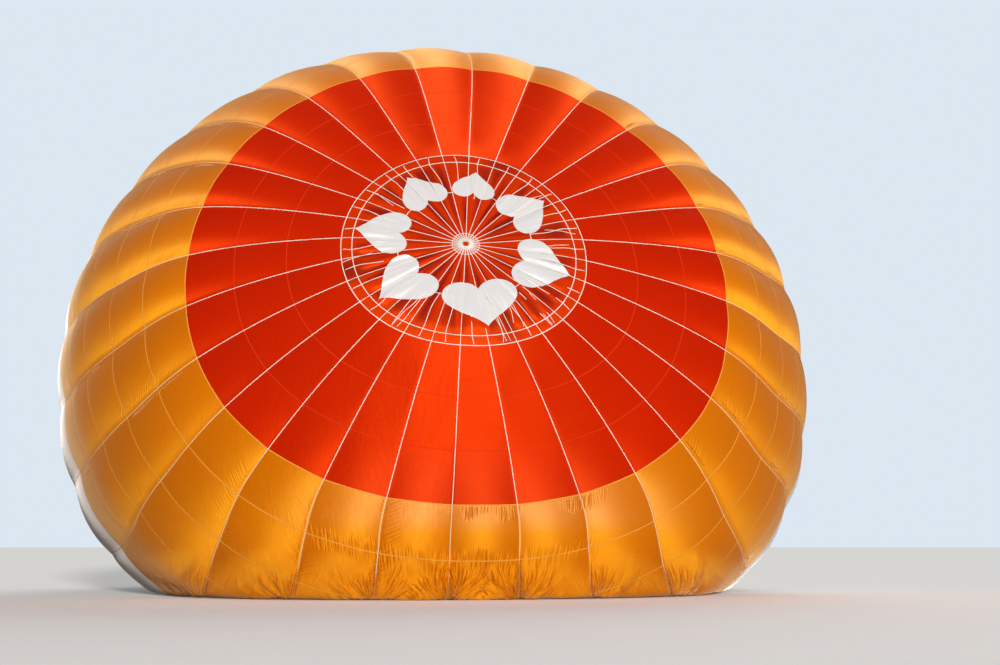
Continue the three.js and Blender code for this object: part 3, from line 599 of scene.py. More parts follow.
class Graph:
    """The nodes of a material or a world. An input takes a socket, a number, a vector or a colour."""

    def __init__(self, owner, end):
        owner.use_nodes = True
        self.owner = owner
        self.tree = owner.node_tree
        self.end = self.tree.nodes[end]
        self.normal = None

    def give(self, socket, value):
        if isinstance(value, bpy.types.NodeSocket):
            self.tree.links.new(value, socket)
        elif socket.type == "RGBA":
            socket.default_value = (*value, 1)
        else:
            socket.default_value = value

    def set(self, values):
        """Gives the last node's inputs their values."""
        for key, value in values.items():
            self.give(self.end.inputs[key], value)

    def add(self, kind, output, inputs=None, **settings):
        """A new node's output. Inputs go by name or number."""
        node = self.tree.nodes.new("ShaderNode" + kind)
        for key, value in settings.items():
            setattr(node, key, value)
        for key, value in (inputs or {}).items():
            self.give(node.inputs[key], value)
        return node.outputs[output]

    def math(self, operation, a, b=0.0):
        return self.add("Math", 0, {0: a, 1: b}, operation=operation)

    def times(self, a, b):
        return self.math("MULTIPLY", a, b)

    def noise(self, vector, scale, detail=3.0, roughness=0.5):
        inputs = {"Vector": vector, "Scale": scale, "Detail": detail, "Roughness": roughness}
        return self.add("TexNoise", "Fac", inputs)

    def remap(self, value, low, high, to_low=0.0, to_high=1.0):
        return self.add("MapRange", 0, dict(enumerate((value, low, high, to_low, to_high))))

    def mixed(self, factor, a, b, blend_type="MIX"):
        return self.add("Mix", 2, {0: factor, 6: a, 7: b}, data_type="RGBA", blend_type=blend_type)

    def bump(self, height, strength, distance):
        """Raises the surface, over the bumps before."""
        inputs = {"Height": height, "Strength": strength, "Distance": distance}
        if self.normal:
            inputs["Normal"] = self.normal
        self.normal = self.add("Bump", 0, inputs)
        self.set({"Normal": self.normal})

    def finish(self, base, rough, height, strength, distance):
        """The material, with its colour and roughness, raised by a height."""
        self.set({"Base Color": base, "Roughness": rough})
        self.bump(height, strength, distance)
        return self.owner

    def field(self, name):
        return self.add("Attribute", "Fac", attribute_name=name)

    def flat(self):
        return self.add("TexCoord", "UV")

    def place(self):
        return self.add("TexCoord", "Object")

    def stretched(self, vector, scale):
        """The vector, scaled by its own amount along each axis."""
        return self.add("Mapping", 0, {"Vector": vector, "Scale": scale})

    def part(self, vector, axis):
        return self.add("SeparateXYZ", axis, {0: vector})

    def vector(self, x, y, z=0.0):
        return self.add("CombineXYZ", 0, {0: x, 1: y, 2: z})

    def edges(self, low, high, most):
        """How worn the edges are."""
        return self.remap(self.add("NewGeometry", "Pointiness"), low, high, 0.0, most)

    def crests(self, vector, detail=1.0):
        """Noise with sharp crests, from 0 to 1."""
        swing = self.math("SUBTRACT", self.noise(vector, 1.0, detail), 0.5)
        return self.remap(self.math("ABSOLUTE", swing), 0.0, 0.22, 1.0, 0.0)


def new_surface(name, values):
    surface = Graph(bpy.data.materials.new(name), "Principled BSDF")
    surface.set(values)
    return surface


def scaled(colour, factor):
    return tuple(min(c * factor, 1.0) for c in colour)


def painted_shade_tone(colour):
    """The painted shade of cloth that is turned away from the sky."""
    red, green, blue = colour
    return red * 0.84, green * 0.66, blue * 0.3


def leaning_normal(g, tangent):
    """The surface's normal, leaned over along the tangent by the fabric's tilt, and down near the ground."""
    lean = g.add("VectorMath", 0, {0: tangent, "Scale": g.field("tilt")}, operation="SCALE")
    leaned = g.add("VectorMath", 0, {0: g.add("NewGeometry", "Normal"), 1: lean}, operation="ADD")
    drop = g.vector(0.0, 0.0, g.times(g.field("under"), TURNED_UNDER))
    hung = g.add("VectorMath", 0, {0: leaned, 1: drop}, operation="SUBTRACT")
    return g.add("VectorMath", 0, {0: hung}, operation="NORMALIZE")


def fan_height(g):
    """Height of the fine creases at the feet of the tapes and under the border, and how far their valleys lie
    below the crests, which sets painted shade there.
    """
    parts = []
    for side in (0, 1):
        angle = g.times(g.field(f"fan_angle_{side}"), 5.5)
        reach = g.times(g.field(f"fan_reach_{side}"), 1.1)
        parts.append((g.crests(g.vector(angle, reach, 4.0 + side), 2.0), g.field(f"fan_strength_{side}")))
    folds = g.vector(g.times(g.field("pucker_place"), 11.0), g.part(g.flat(), 1))
    parts.append((g.crests(folds), g.field("pucker")))
    height, depth = 0.0, 0.0
    for crest, strength in parts:
        raised = g.times(crest, strength)
        height = g.math("ADD", height, raised)
        depth = g.math("ADD", depth, g.math("SUBTRACT", strength, raised))
    return height, depth


def fabric(name, colour, shine, glaze=(1.0, 0.9, 0.8), sheen=0.05, sheen_spread=0.25, tone=0.08,
           ior=THREAD_IOR, creased=False, shaded=False):
    """Coated ripstop nylon: a grid of thicker threads, panels of slightly different tone, fine creases, and,
    where asked, painted shade and painted highlights.
    """
    g = new_surface(name, {
        "Sheen Weight": sheen, "Sheen Roughness": sheen_spread, "Sheen Tint": glaze, "IOR": ior,
        "Specular Tint": shine, "Anisotropic": 1.0, "Anisotropic Rotation": 0.25})
    tangent = g.add("Tangent", 0, direction_type="UV_MAP", uv_map="flat")
    lightness = g.math("ADD", g.times(g.noise(g.place(), 0.5), 0.5), g.times(g.field("tone"), 0.5))
    base = g.mixed(lightness, scaled(colour, 1 - tone), scaled(colour, 1 + tone))
    bricks = {"Vector": g.flat(), "Scale": 1.0, "Mortar Size": 0.0008, "Brick Width": THREAD_STEP,
              "Row Height": THREAD_STEP}
    threads = g.add("TexBrick", "Fac", bricks, offset=0.0)
    base = g.mixed(g.times(threads, 0.18), base, scaled(colour, 0.8))
    fine = g.noise(g.stretched(g.flat(), (9.0, 3.0, 1.0)), 1.0, 4.0, 0.55)
    g.set({"Tangent": tangent})
    if creased:
        g.normal = leaning_normal(g, tangent)
    g.bump(fine, 0.5, 0.006)
    g.bump(g.noise(g.place(), 26.0), 0.35, 0.0012)
    if creased:
        # Painted shade near the ground: the cloth and its shine turn towards a darker tone. The shine's tint
        # also turns paler by the painted highlight field.
        deep = g.times(g.field("under"), 0.7)
        g.set({"Specular Tint": g.mixed(deep, g.mixed(g.field("painted_pale_highlight"), shine, glaze), painted_shade_tone(shine))})
        base = g.mixed(deep, base, painted_shade_tone(colour))
        folds, depth = fan_height(g)
        g.bump(folds, 1.0, 0.04)
        # Painted shade in the valleys of the fine creases.
        base = g.mixed(g.remap(depth, 0.15, 0.9, 0.0, 0.28), base, scaled(colour, 0.55))
        # Painted highlight on their crests.
        base = g.mixed(g.remap(folds, 0.4, 0.9, 0.0, 0.45), base, scaled(colour, 1.45))
        slant = g.crests(g.vector(g.field("crease_place"), 0.0))
        g.bump(g.times(slant, g.field("crease_strength")), 1.0, 0.01)
    if shaded:
        base = g.mixed(g.field("shade"), base, SHADED_RED)
    return g.finish(base, g.remap(fine, 0.3, 0.7, 0.65, 0.77), threads, 0.25, 0.0002)


def webbing(name, colour, aged=None, gloss=0.5):
    """Woven tape: fine ribs across, soiled in places, and of another tone beyond the crown."""
    g = new_surface(name, {"Sheen Weight": 0.05, "Specular IOR Level": gloss})
    if aged:
        colour = g.mixed(g.remap(g.part(g.flat(), 1), 7.8, 8.3), colour, aged)
    waves = {"Vector": g.flat(), "Scale": 1 / TAPE_RIB / 6.28}
    ribs = g.add("TexWave", "Fac", waves, wave_type="BANDS", bands_direction="Y")
    soiled = g.mixed(1.0, colour, (0.84, 0.82, 0.8), "MULTIPLY")
    base = g.mixed(g.remap(g.noise(g.place(), 1.3, 4.0), 0.35, 0.75), colour, soiled)
    return g.finish(g.mixed(g.times(ribs, 0.12), base, soiled), 0.8, ribs, 0.4, 0.0006)


def steel(name, colour=(0.55, 0.56, 0.58), roughness=0.32, heat=None):
    """Brushed steel with handling marks, worn bright at its edges, and tinted by heat."""
    g = new_surface(name, {"Metallic": 1.0})
    brushed = g.noise(g.stretched(g.place(), (40.0, 6.0, 40.0)), 6.0, 4.0)
    base = g.mixed(g.noise(g.place(), 7.0, 5.0), scaled(colour, 0.82), scaled(colour, 1.1))
    if heat:
        base = g.mixed(g.remap(g.noise(g.place(), 3.5, 4.0), 0.4, 0.65, 0.0, 0.8), base, heat)
    base = g.mixed(g.edges(0.51, 0.56, 0.5), base, scaled(colour, 1.5))
    roughness = g.remap(brushed, 0.3, 0.7, roughness - 0.04, roughness + 0.07)
    return g.finish(base, roughness, brushed, 0.1, 0.0004)


def wicker():
    """Willow rods, each of its own tone, with long fibres, and painted shade between the rods and where they
    dip in.
    """
    g = new_surface("willow", {"Sheen Weight": 0.1})
    row = g.math("FLOOR", g.math("DIVIDE", g.part(g.flat(), 1), WEAVE_ROW))
    rod = g.vector(g.times(g.part(g.flat(), 0), 0.9), g.times(row, 3.7))
    fibre = g.noise(g.stretched(g.flat(), (9.0, 420.0, 1.0)), 1.0, 3.0, 0.6)
    base = g.mixed(g.remap(g.noise(rod, 1.0, 2.0), 0.3, 0.7), (0.44, 0.23, 0.09), (0.78, 0.52, 0.26))
    base = g.mixed(g.times(fibre, 0.3), base, (0.3, 0.14, 0.05))
    # Painted shade between the rods, from the weave's depth.
    base = g.mixed(g.remap(g.field("deep"), 0.2, 0.95, 0.0, 0.92), base, (0.05, 0.022, 0.008))
    return g.finish(base, g.remap(fibre, 0.3, 0.7, 0.45, 0.7), fibre, 0.5, 0.0015)


def leather(name, colour, grain=160.0):
    """Waxed leather: a fine grain, softer creases, a scuffed and paler crest."""
    g = new_surface(name, {"Coat Weight": 0.06})
    cells = g.add("TexVoronoi", "Distance", {"Vector": g.place(), "Scale": grain}, feature="DISTANCE_TO_EDGE")
    crease = g.noise(g.place(), 26.0, 4.0, 0.6)
    base = g.mixed(g.noise(g.place(), 4.0, 5.0), scaled(colour, 0.72), scaled(colour, 1.2))
    base = g.mixed(g.edges(0.5, 0.56, 0.45), base, scaled(colour, 1.9))
    g.bump(crease, 0.35, 0.003)
    return g.finish(base, g.remap(crease, 0.3, 0.7, 0.4, 0.62), g.remap(cells, 0.0, 0.25), 0.3, 0.0005)


def wood():
    """Birch plywood and ash runners: long grain, darker knots, scuffs."""
    g = new_surface("ply", {"Coat Weight": 0.15})
    grain = g.noise(g.stretched(g.place(), (0.9, 22.0, 22.0)), 1.0, 6.0, 0.6)
    trunk = g.stretched(g.place(), (0.12, 2.0, 2.0))
    waves = {"Vector": trunk, "Scale": 1.4, "Distortion": 7.0, "Detail": 3.0}
    rings = g.add("TexWave", "Fac", waves, wave_type="RINGS", rings_direction="X")
    scuff = g.noise(g.place(), 11.0, 5.0)
    base = g.mixed(grain, (0.36, 0.19, 0.08), (0.62, 0.4, 0.2))
    base = g.mixed(g.times(rings, 0.25), base, (0.28, 0.14, 0.06))
    base = g.mixed(g.remap(scuff, 0.58, 0.75, 0.0, 0.5), base, (0.2, 0.15, 0.11))
    return g.finish(base, g.remap(scuff, 0.3, 0.7, 0.38, 0.66), grain, 0.3, 0.0008)


def cable():
    """Twisted steel strands."""
    g = new_surface("wire_rope", {"Metallic": 1.0})
    waves = {"Vector": g.place(), "Scale": 90.0}
    strand = g.add("TexWave", "Fac", waves, wave_type="BANDS", bands_direction="DIAGONAL")
    cloud = g.noise(g.place(), 3.0, 4.0)
    base = g.mixed(cloud, (0.32, 0.33, 0.34), (0.6, 0.61, 0.62))
    base = g.mixed(g.times(strand, 0.6), base, (0.1, 0.1, 0.11))
    return g.finish(base, g.remap(cloud, 0.3, 0.7, 0.28, 0.5), strand, 0.8, 0.001)


# Each look's slot and material
RED = fabric("red_nylon", (0.64, 0.014, 0.0005), (1.0, 0.1, 0.008), (1.0, 0.17, 0.04), creased=True)
YELLOW = fabric(
    "yellow_nylon", (0.78, 0.175, 0.0005), (1.0, 0.56, 0.03), (1.0, 0.76, 0.5), 0.45, 0.35, creased=True)
WHITE = fabric("white_nylon", (0.95, 0.86, 0.93), (1.0, 0.92, 1.0), sheen=0.8, tone=0.04, ior=1.5)
PARACHUTE = fabric("parachute_nylon", (0.72, 0.033, 0.001), (1.0, 0.12, 0.01), shaded=True)
LOOKS = {
    "red": ("red_fabric", RED),
    "yellow": ("yellow_fabric", YELLOW),
    "white": ("white_fabric", WHITE),
    "mouth": ("mouth_fabric", fabric("mouth_cloth", (0.42, 0.03, 0.015), (0.6, 0.2, 0.1))),
    "parachute": ("red_fabric", PARACHUTE),
    "heart": ("white_fabric", fabric("heart_nylon", (0.8, 0.78, 0.79), (0.9, 0.9, 0.9), tone=0.04)),
    "load_tape": ("tape", webbing("load_tape", (0.85, 0.78, 0.69), (0.82, 0.65, 0.42))),
    "tape": ("tape", webbing("ring_tape", (0.85, 0.78, 0.71))),
    "stitch": ("tape", webbing("stitch_thread", (0.16, 0.08, 0.05))),
    "red_seam": ("red_fabric", webbing("red_seam_tape", (0.74, 0.035, 0.006), gloss=0.1)),
    "yellow_seam": ("yellow_fabric", webbing("yellow_seam_tape", (0.86, 0.37, 0.04))),
    "white_seam": ("white_fabric", webbing("white_seam_tape", (0.8, 0.78, 0.8))),
    "wicker": ("wicker", wicker()),
    "leather": ("leather", leather("hide", (0.2, 0.085, 0.035))),
    "lace": ("leather", leather("lacing", (0.42, 0.24, 0.11), 260.0)),
    "strap": ("leather", webbing("black_webbing", (0.05, 0.05, 0.055))),
    "crown_ring": ("steel", steel("crown_ring_steel")),
    "can_steel": ("steel", steel("can_steel", (0.6, 0.58, 0.55), 0.28, (0.42, 0.3, 0.2))),
    "coil": ("steel", steel("coil_steel", (0.45, 0.4, 0.36), 0.36, (0.2, 0.13, 0.16))),
    "aluminium": ("aluminium", steel("cylinder_aluminium", (0.72, 0.72, 0.71), 0.36)),
    "brass": ("steel", steel("brass", (0.72, 0.5, 0.2), 0.3)),
    "wheel": ("steel", steel("red_enamel", (0.5, 0.03, 0.02), 0.4)),
}


# Fabric bands
def drawn_in(values):
    """The same values with both ends drawn in by the seam gap."""
    return np.concatenate([values[:1] + SEAM_GAP, values[1:-1], values[-1:] - SEAM_GAP])


def sector_columns(sector, near):
    """Gores of the mesh columns, closer together near the ground."""
    columns = []
    gores = range(sector * SECTOR_GORES, (sector + 1) * SECTOR_GORES)
    for gore in gores:
        parts = near if min(gore, GORES - 1 - gore) < FINE_GORES else COLUMNS_ALOFT
        columns.append(gore + np.arange(parts) / parts)
    return np.concatenate([*columns, [gores.stop]])


def make_band_sector(band, sector):
    rows = between_marks(band["seams"], band["step"])
    arcs, gores = mesh_grid(drawn_in(rows), drawn_in(sector_columns(sector, band["near"])))
    column = np.clip(np.floor(gores + 1e-9).astype(int), 0, GORES - 1)
    fields = {"tone": noise_table(51)[row_of(band["seams"], arcs), column] * 0.5 + 0.5}
    if band["look"] in ("red", "yellow"):
        fields.update(fabric_fields(arcs, gores))
    outer, inner = fabric_points(arcs, gores), fabric_points(arcs, gores, -CLOTH)
    flat = join(gores * gore_width(arcs), arcs)
    name = f"{band['name']}_cloth_{sector + 1}"
    cloth = double_layer(name, outer, inner, grid_faces(*arcs.shape), flat, band["look"], fields)
    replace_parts(cloth, "mouth_band" if band["name"] == "mouth_band" else f"{band['name']}_{sector + 1}")


# Tapes sewn onto the fabric
def tape(edges, normals, bottom, top, along, closed=False):
    """A tube of four corners between a tape's two edges, from one height over the cloth to another."""
    (left, right), (up, over) = edges, normals
    corners = [left + up * top, right + over * top, right + over * bottom, left + up * bottom]
    corners = np.stack(corners, axis=1)
    return (corners[:-1], along[:-1], True) if closed else (corners, along, False)


def radial_tape(gore, arcs, width, bottom, top, surface=fabric_points, fill=0.33):
    """A tape along one gore line. Width is a number or one for each arc."""
    half = np.minimum(width / 2, fill * TURN * arcs / GORES)
    gores = np.full(len(arcs), float(gore))
    normal = smooth_normals(arcs, gores)
    aside = surface(arcs, gores + 0.02) - surface(arcs, gores - 0.02)
    aside = unit(aside - normal * np.sum(aside * normal, axis=1, keepdims=True)) * half[:, None]
    middle = surface(arcs, gores)
    return tape((middle - aside, middle + aside), (normal, normal), bottom, top, arcs)


def ring_tape(arc, width, bottom, top, parts, surface=fabric_points):
    """A tape that runs round the crown at one arc, closed on itself."""
    gores = np.linspace(0, GORES, parts * GORES + 1)
    sides = [np.full(len(gores), arc + side * width / 2) for side in (1, -1)]
    edges = [surface(arcs, gores) for arcs in sides]
    normals = [smooth_normals(arcs, gores) for arcs in sides]
    return tape(edges, normals, bottom, top, gores * gore_width(arc), closed=True)


def make_load_tapes():
    """The tapes along the gores. The slack cloth folds over them near the ground, so they narrow there."""
    front = [np.linspace(0.1, 0.5, 9), np.arange(0.6, 3.5, 0.12), np.arange(3.5, 15.5, 0.1)]
    arcs = np.concatenate([*front, np.arange(15.5, ENVELOPE_END, 0.3), [ENVELOPE_END]])
    width = blend(VENT_TAPE_WIDTH, TAPE_WIDTH, ease(arcs, 3.3, 3.6))
    lines = []
    for gore in range(GORES):
        hidden = 0.95 + 0.35 * noise(gore * 1.7, 0.5, 37)
        height = height_at(arcs, np.full(len(arcs), gore))
        seen = 0.2 + 0.8 * ease(height, hidden - 0.15, hidden + 0.15)
        lines.append(radial_tape(gore, arcs, width * seen, -0.001, TAPE_THICKNESS))
    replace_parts(make_tubes("load_tapes", lines, "load_tape"), "crown_tapes")


def make_seams():
    """Felled seams between the rows of panels, and tapes round the border, the vent's edge and the mouth."""
    for look, width in SEAM_WIDTHS.items():
        arcs = {arc for band in BANDS if band["look"] == look for arc in band["seams"][1:]}
        lines = [ring_tape(arc, width, -0.001, 0.0016, 16) for arc in sorted(arcs - {BORDER, MOUTH_BAND})]
        make_tubes(f"{look}_seams", lines, f"{look}_seam")
    for name, look, *ring in (
        ("border_seam", "yellow_seam", BORDER, 0.03, -0.001, 0.002, 24),
        ("vent_edge_tape", "tape", VENT_EDGE - 0.03, 0.025, -0.004, 0.003, 16),
        ("mouth_edge_tape", "tape", ENVELOPE_END - 0.03, 0.05, -0.006, 0.002, 12),
    ):
        make_tubes(name, [ring_tape(*ring)], look)


# Parachute that closes the vent from inside
def pleats(arcs, gores):
    return ridges(gores * 2.3 + 0.3 * noise(arcs, gores, 61), arcs * 0.3, 62)


def parachute_points(arcs, gores, offset=0.0):
    """The parachute's cloth, swelled between the gores' middles, pleated, and pulled in near its ring."""
    between = side_of_tape(gores)[0]
    swell = 0.03 * 4 * between * (1 - between) * np.clip(arcs / 3.0, 0, 1)
    folds = 0.045 * (pleats(arcs, gores) - 0.6) * np.clip(arcs / 2.2, 0.15, 1)
    small = 0.02 * (ridges(gores * 5.1, arcs * 0.8, 63) - 0.6) * np.clip(arcs / 2.2, 0.1, 1)
    pull = 0.035 * np.clip(noise(gores * 0.9, arcs * 0.9, 64), 0, 1) * ease(arcs, 1.6, 2.8)
    push = (swell + folds + small - pull) * ease(arcs, 0.3, 1.2) * fade(arcs, 2.85, PARACHUTE_RING)
    push = (push - PARACHUTE_DEPTH + offset)[..., None]
    return smooth_points(arcs, gores) + smooth_normals(arcs, gores) * push


def lifted_points(arcs, gores):
    return parachute_points(arcs, gores, 0.01)


def parachute_shade(arcs, gores):
    """Where the cloth lies in its own shade: the valleys of the pleats, and pockets near its ring."""
    valley = fade(pleats(arcs, gores), 0.35, 0.8) * ease(arcs, 0.35, 1.2) * fade(arcs, 2.9, 3.2)
    pocket = ease(noise(gores * 0.55 + 3, arcs * 0.6, 65), 0.1, 0.5) * ease(arcs, 2.7, 3.3)
    between, below = side_of_tape(gores)
    # Painted shade on one side of each gore between the load tapes.
    wedge = ease(between + 0.12 * noise(arcs * 1.7, below * 3.3, 66), 0.5, 0.75)
    wedge = wedge * ease(arcs, 0.3, 0.9) * fade(arcs, 2.3, 3.2)
    return np.clip(0.6 * valley + 0.8 * pocket + 0.4 * wedge, 0, 0.92)


def heart_on_crown(gore, tip, top, width):
    """A plump heart's outline with a shallow notch, as flat points round the crown, tip outwards."""
    t = circle(HEART_POINTS)
    across = width / 2 * np.sign(np.sin(t)) * np.abs(np.sin(t)) ** 2.5
    up = 13 * np.cos(t) - 4.4 * np.cos(2 * t) - 1.7 * np.cos(3 * t) - 0.8 * np.cos(4 * t)
    outward = blend(tip, top, (up - up.min()) / np.ptp(up))
    c, s = math.cos(TURN * gore / GORES), math.sin(TURN * gore / GORES)
    return join(outward * c - across * s, outward * s + across * c)


def flat_crown_points(outlines):
    """Points that cover the parachute, laid out flat, denser towards its edge, and clear of the outlines."""
    rings = [np.zeros((1, 2))]
    for radius in [0.06, 0.12, 0.2, 0.3, *np.arange(0.4, 3.75, 0.085)]:
        rings.append(around(radius, circle(GORES * int(np.clip(round(radius * 5), 1, 14)))))
    points = np.concatenate(rings)
    gaps = np.linalg.norm(points[:, None] - np.concatenate(outlines), axis=2).min(axis=1)
    return np.concatenate([points[gaps > 0.022], around(PARACHUTE_EDGE, circle(GORES * 14))])


def make_parachute():
    """The parachute's cloth, cut by the hearts' outlines, and the hearts sewn onto it."""
    outlines = [heart_on_crown(*heart) for heart in HEARTS]
    points = flat_crown_points(outlines)
    starts = range(len(points), len(points) + len(outlines) * HEART_POINTS, HEART_POINTS)
    hearts = [range(start + HEART_POINTS - 1, start - 1, -1) for start in starts]
    everything = [Vector(p) for p in np.concatenate([points, *outlines])]
    made = delaunay_2d_cdt(everything, [], hearts, 0, 1e-6)
    flat, triangles = np.array(made[0]), np.array(made[2])
    picked = np.array([len(covering) > 0 for covering in made[5]])
    a, b, c = (flat[triangles[:, k]] for k in range(3))
    turned = np.linalg.det(np.stack([b - a, c - a], axis=1)) < 0
    triangles[turned] = triangles[turned][:, ::-1]
    arcs = np.hypot(*flat.T)
    gores = np.arctan2(flat[:, 1], flat[:, 0]) * GORES / TURN
    fields = {"shade": parachute_shade(arcs, gores), "tone": np.full(len(arcs), 0.5)}
    layers = [parachute_points(arcs, gores, offset) for offset in (0.0, -CLOTH, 0.0035, 0.0005)]
    body = "parachute_valve"
    cloth = double_layer("parachute_cloth", *layers[:2], triangles, flat, "parachute", fields, body)
    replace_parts(cloth, "parachute")
    double_layer("parachute_hearts", *layers[2:], triangles[picked], flat, "heart", fields, body)
    return cloth


def swayed_tape(gore, arcs, sway, width, top):
    """A tape on the parachute that leaves its gore line by the sway."""
    return radial_tape(gore, arcs, width, -0.012, top, lambda a, g: lifted_points(a, g + sway))


def make_parachute_tapes():
    """The parachute's ring tape, the radial ones between the load tapes, slack cords, and ties."""
    ring = [ring_tape(PARACHUTE_RING, 0.024, -0.004, 0.005, 16, lifted_points)]
    make_tubes("parachute_ring_tapes", ring, "tape", "parachute_valve")
    lines = []
    for k in range(GORES):
        arcs = np.linspace(2.0 + 0.35 * noise_table(72)[k, 0], 3.42, 28)
        sway = 0.16 * noise(arcs * 1.3, k * 3.7, 71) * ease(arcs, 1.3, 2.5)
        lines.append(swayed_tape(k + 0.5, arcs, sway, 0.02, 0.005))
    for k, (gore, start, end, lean) in enumerate(SLACK_LINES):
        arcs = np.linspace(start, end, 14)
        sway = lean * (arcs - start) / (end - start) + 0.05 * noise(arcs * 2, k * 2.9, 73)
        lines.append(swayed_tape(gore, arcs, sway, 0.016, 0.006))
    make_tubes("parachute_radial_tapes", lines, "tape", "parachute_valve")
    ties = []
    for start, end in zip(HEARTS, HEARTS[1:] + HEARTS[:1]):
        middle = (start[0] + end[0] + (GORES if end[0] < start[0] else 0)) / 2
        gores = np.linspace(middle - 0.62, middle + 0.62, 10)
        arcs = np.full(len(gores), TIE_ARC)
        normal = smooth_normals(arcs, gores)
        edges = [lifted_points(arcs + side, gores) for side in (0.01, -0.01)]
        ties.append(tape(edges, (normal, normal), -0.003, 0.003, gores * gore_width(TIE_ARC)))
    make_tubes("heart_ties", ties, "tape", "parachute_valve")


def lathe(profile, sides, centre=(0.0, 0.0, 0.0)):
    """Rings of points about an upright line through a centre."""
    radius, height = np.transpose(profile)[..., None]
    turn = circle(sides)
    return join(radius * np.cos(turn), radius * np.sin(turn), height) + centre


def make_crown_ring():
    """A round metal ring in the middle of the load tapes."""
    centre = smooth_points(np.zeros(1), np.zeros(1))
    normal = smooth_normals(np.array([HUB_OUTER]), np.zeros(1))[0]
    right = unit(np.cross(normal, [0.0, 0.0, 1.0]))
    tube = circle(14)
    rings = lathe(around(CROWN_RING_THICK, tube) + (CROWN_RING_RADIUS, 0.002), 72)
    points = centre + rings @ np.stack([right, np.cross(right, normal), normal])
    ring = make_tubes("crown_ring_tube", [(points, tube, True)], "crown_ring", outward=True)
    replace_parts(ring, "crown_ring")


def make_tape_loops():
    """The doubled ends of the load tapes, turned back round the crown ring and stitched down."""
    lines, stitches = [], []
    for k in range(GORES):
        arcs = np.concatenate([LOOP_ARCS, np.linspace(0.17, HUB_TAPE_ARC, 6)])
        over = np.interp(arcs, LOOP_ARCS, LOOP_LIFTS)[:, None]
        lines.append(radial_tape(k, arcs, LOOP_WIDTH, over, over + 0.0045, fill=0.47))
        for back in (0.13, 0.08, 0.03):
            arcs = HUB_TAPE_ARC - back + np.array([0.0, 0.006])
            stitches.append(radial_tape(k, arcs, TAPE_WIDTH * 0.8, 0.006, 0.0083))
    make_tubes("tape_loops", lines, "tape")
    make_tubes("hub_ring_tape", [ring_tape(HUB_TAPE_ARC, 0.016, 0.004, 0.009, 4)], "tape")
    make_tubes("tape_loop_stitches", stitches, "stitch")


# Basket
def woven_wall(name, node, start, end, top, thickness, offset, holes=()):
    """A woven panel between two points of the plan, with rods round upright stakes."""
    start = np.array(start)
    way = np.array(end) - start
    length = np.linalg.norm(way)
    along_x, along_y = way / length
    bottom = FLOOR_TOP + GAP
    columns, rows = {0.0, length}, {bottom, top}
    for x, z in holes:
        columns.update(np.round([x - start[0] - FOOTHOLD_WIDTH / 2, x - start[0] + FOOTHOLD_WIDTH / 2], 6))
        rows.update([z, z + FOOTHOLD_HEIGHT])
    along = between_marks(sorted(columns), WEAVE_PITCH / 3)
    up = between_marks(sorted(rows), WEAVE_ROW / 3)
    z, u = mesh_grid(up, along)
    row = np.floor(z / WEAVE_ROW + 1e-6)
    round_off = np.sqrt(np.clip(1 - (2 * (z / WEAVE_ROW - row) - 1) ** 2, 0, 1))
    wave = np.cos(np.pi * (u / WEAVE_PITCH + row + offset))
    layers, deep = [], []
    for side in (1, -1):
        relief = WEAVE_RELIEF * (0.55 * wave + 0.45 * side) * round_off
        out = side * (thickness / 2 - WEAVE_RELIEF) + relief
        plan = start[0] + u * along_x + out * along_y, start[1] + u * along_y - out * along_x
        layers.append(from_basket(join(*plan, z)))
        # Painted shade for each point: most between the rows, and where a rod dips in.
        deep.append(1 - round_off * (0.3 + 0.7 * (0.5 + 0.5 * side * wave)))
    middle_z, middle_u = mesh_grid((up[:-1] + up[1:]) / 2, start[0] + (along[:-1] + along[1:]) / 2)
    filled = np.ones(middle_z.shape, bool)
    for x, low in holes:
        beside = np.abs(middle_u - x) > FOOTHOLD_WIDTH / 2
        filled &= beside | (middle_z < low) | (middle_z > low + FOOTHOLD_HEIGHT)
    faces = grid_faces(*z.shape)[filled.ravel()]
    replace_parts(double_layer(name, *layers, faces, join(u, z), "wicker", {"deep": tuple(deep)}), node)


def make_walls():
    x, y = BASKET_LENGTH / 2, (BASKET_DEPTH - WALL) / 2
    for side, label, offset in ((-1, "ground", 0), (1, "sky", 1)):
        name, node = f"wicker_{label}_side", f"basket_wall_{label}_side"
        woven_wall(name, node, (-x, side * y), (x, side * y), WALL_TOP, WALL, offset, FOOTHOLDS)
    depth = BASKET_DEPTH / 2 - WALL - GAP
    for side, label in ((-1, "left"), (1, "right")):
        end = side * (x - WALL / 2)
        cross = side * (PILOT_BAY + PARTITION) / 2
        node = f"basket_partition_{label}"
        line = (end, -depth), (end, depth)
        woven_wall(f"wicker_end_{label}", f"basket_end_{label}", *line, WALL_TOP, WALL, 0)
        line = (cross, -depth), (cross, depth)
        woven_wall(f"wicker_partition_{label}", node, *line, PARTITION_TOP, PARTITION, 1)
        line = sorted([(cross + side * PARTITION / 2, 0), (side * (x - WALL - GAP), 0)])
        woven_wall(f"wicker_divider_{label}", node, *line, PARTITION_TOP, PARTITION, 0)


def rounded_path(half_x, half_y, radius, step):
    """Points and outward directions round a rectangle with round corners, how far each is, and the length."""
    turns = np.linspace(-np.pi / 2, 0, max(4, math.ceil(radius * np.pi / 2 / step)) + 1)
    centres = np.array([(1, -1), (1, 1), (-1, 1), (-1, -1)]) * (half_x - radius, half_y - radius)
    points, directions = [], []
    for k, (centre, following) in enumerate(zip(centres, np.roll(centres, -1, axis=0))):
        out = around(1, turns + k * np.pi / 2)
        run = following - centre
        shares = np.linspace(0, 1, max(2, math.ceil(np.linalg.norm(run) / step)), endpoint=False)[1:, None]
        points += [centre + radius * out, centre + radius * out[-1] + shares * run]
        directions += [out, np.repeat(out[-1:], len(shares), axis=0)]
    points, directions = np.concatenate(points), np.concatenate(directions)
    travelled = way_along(closing(points))
    return points, directions, travelled[:-1], travelled[-1]


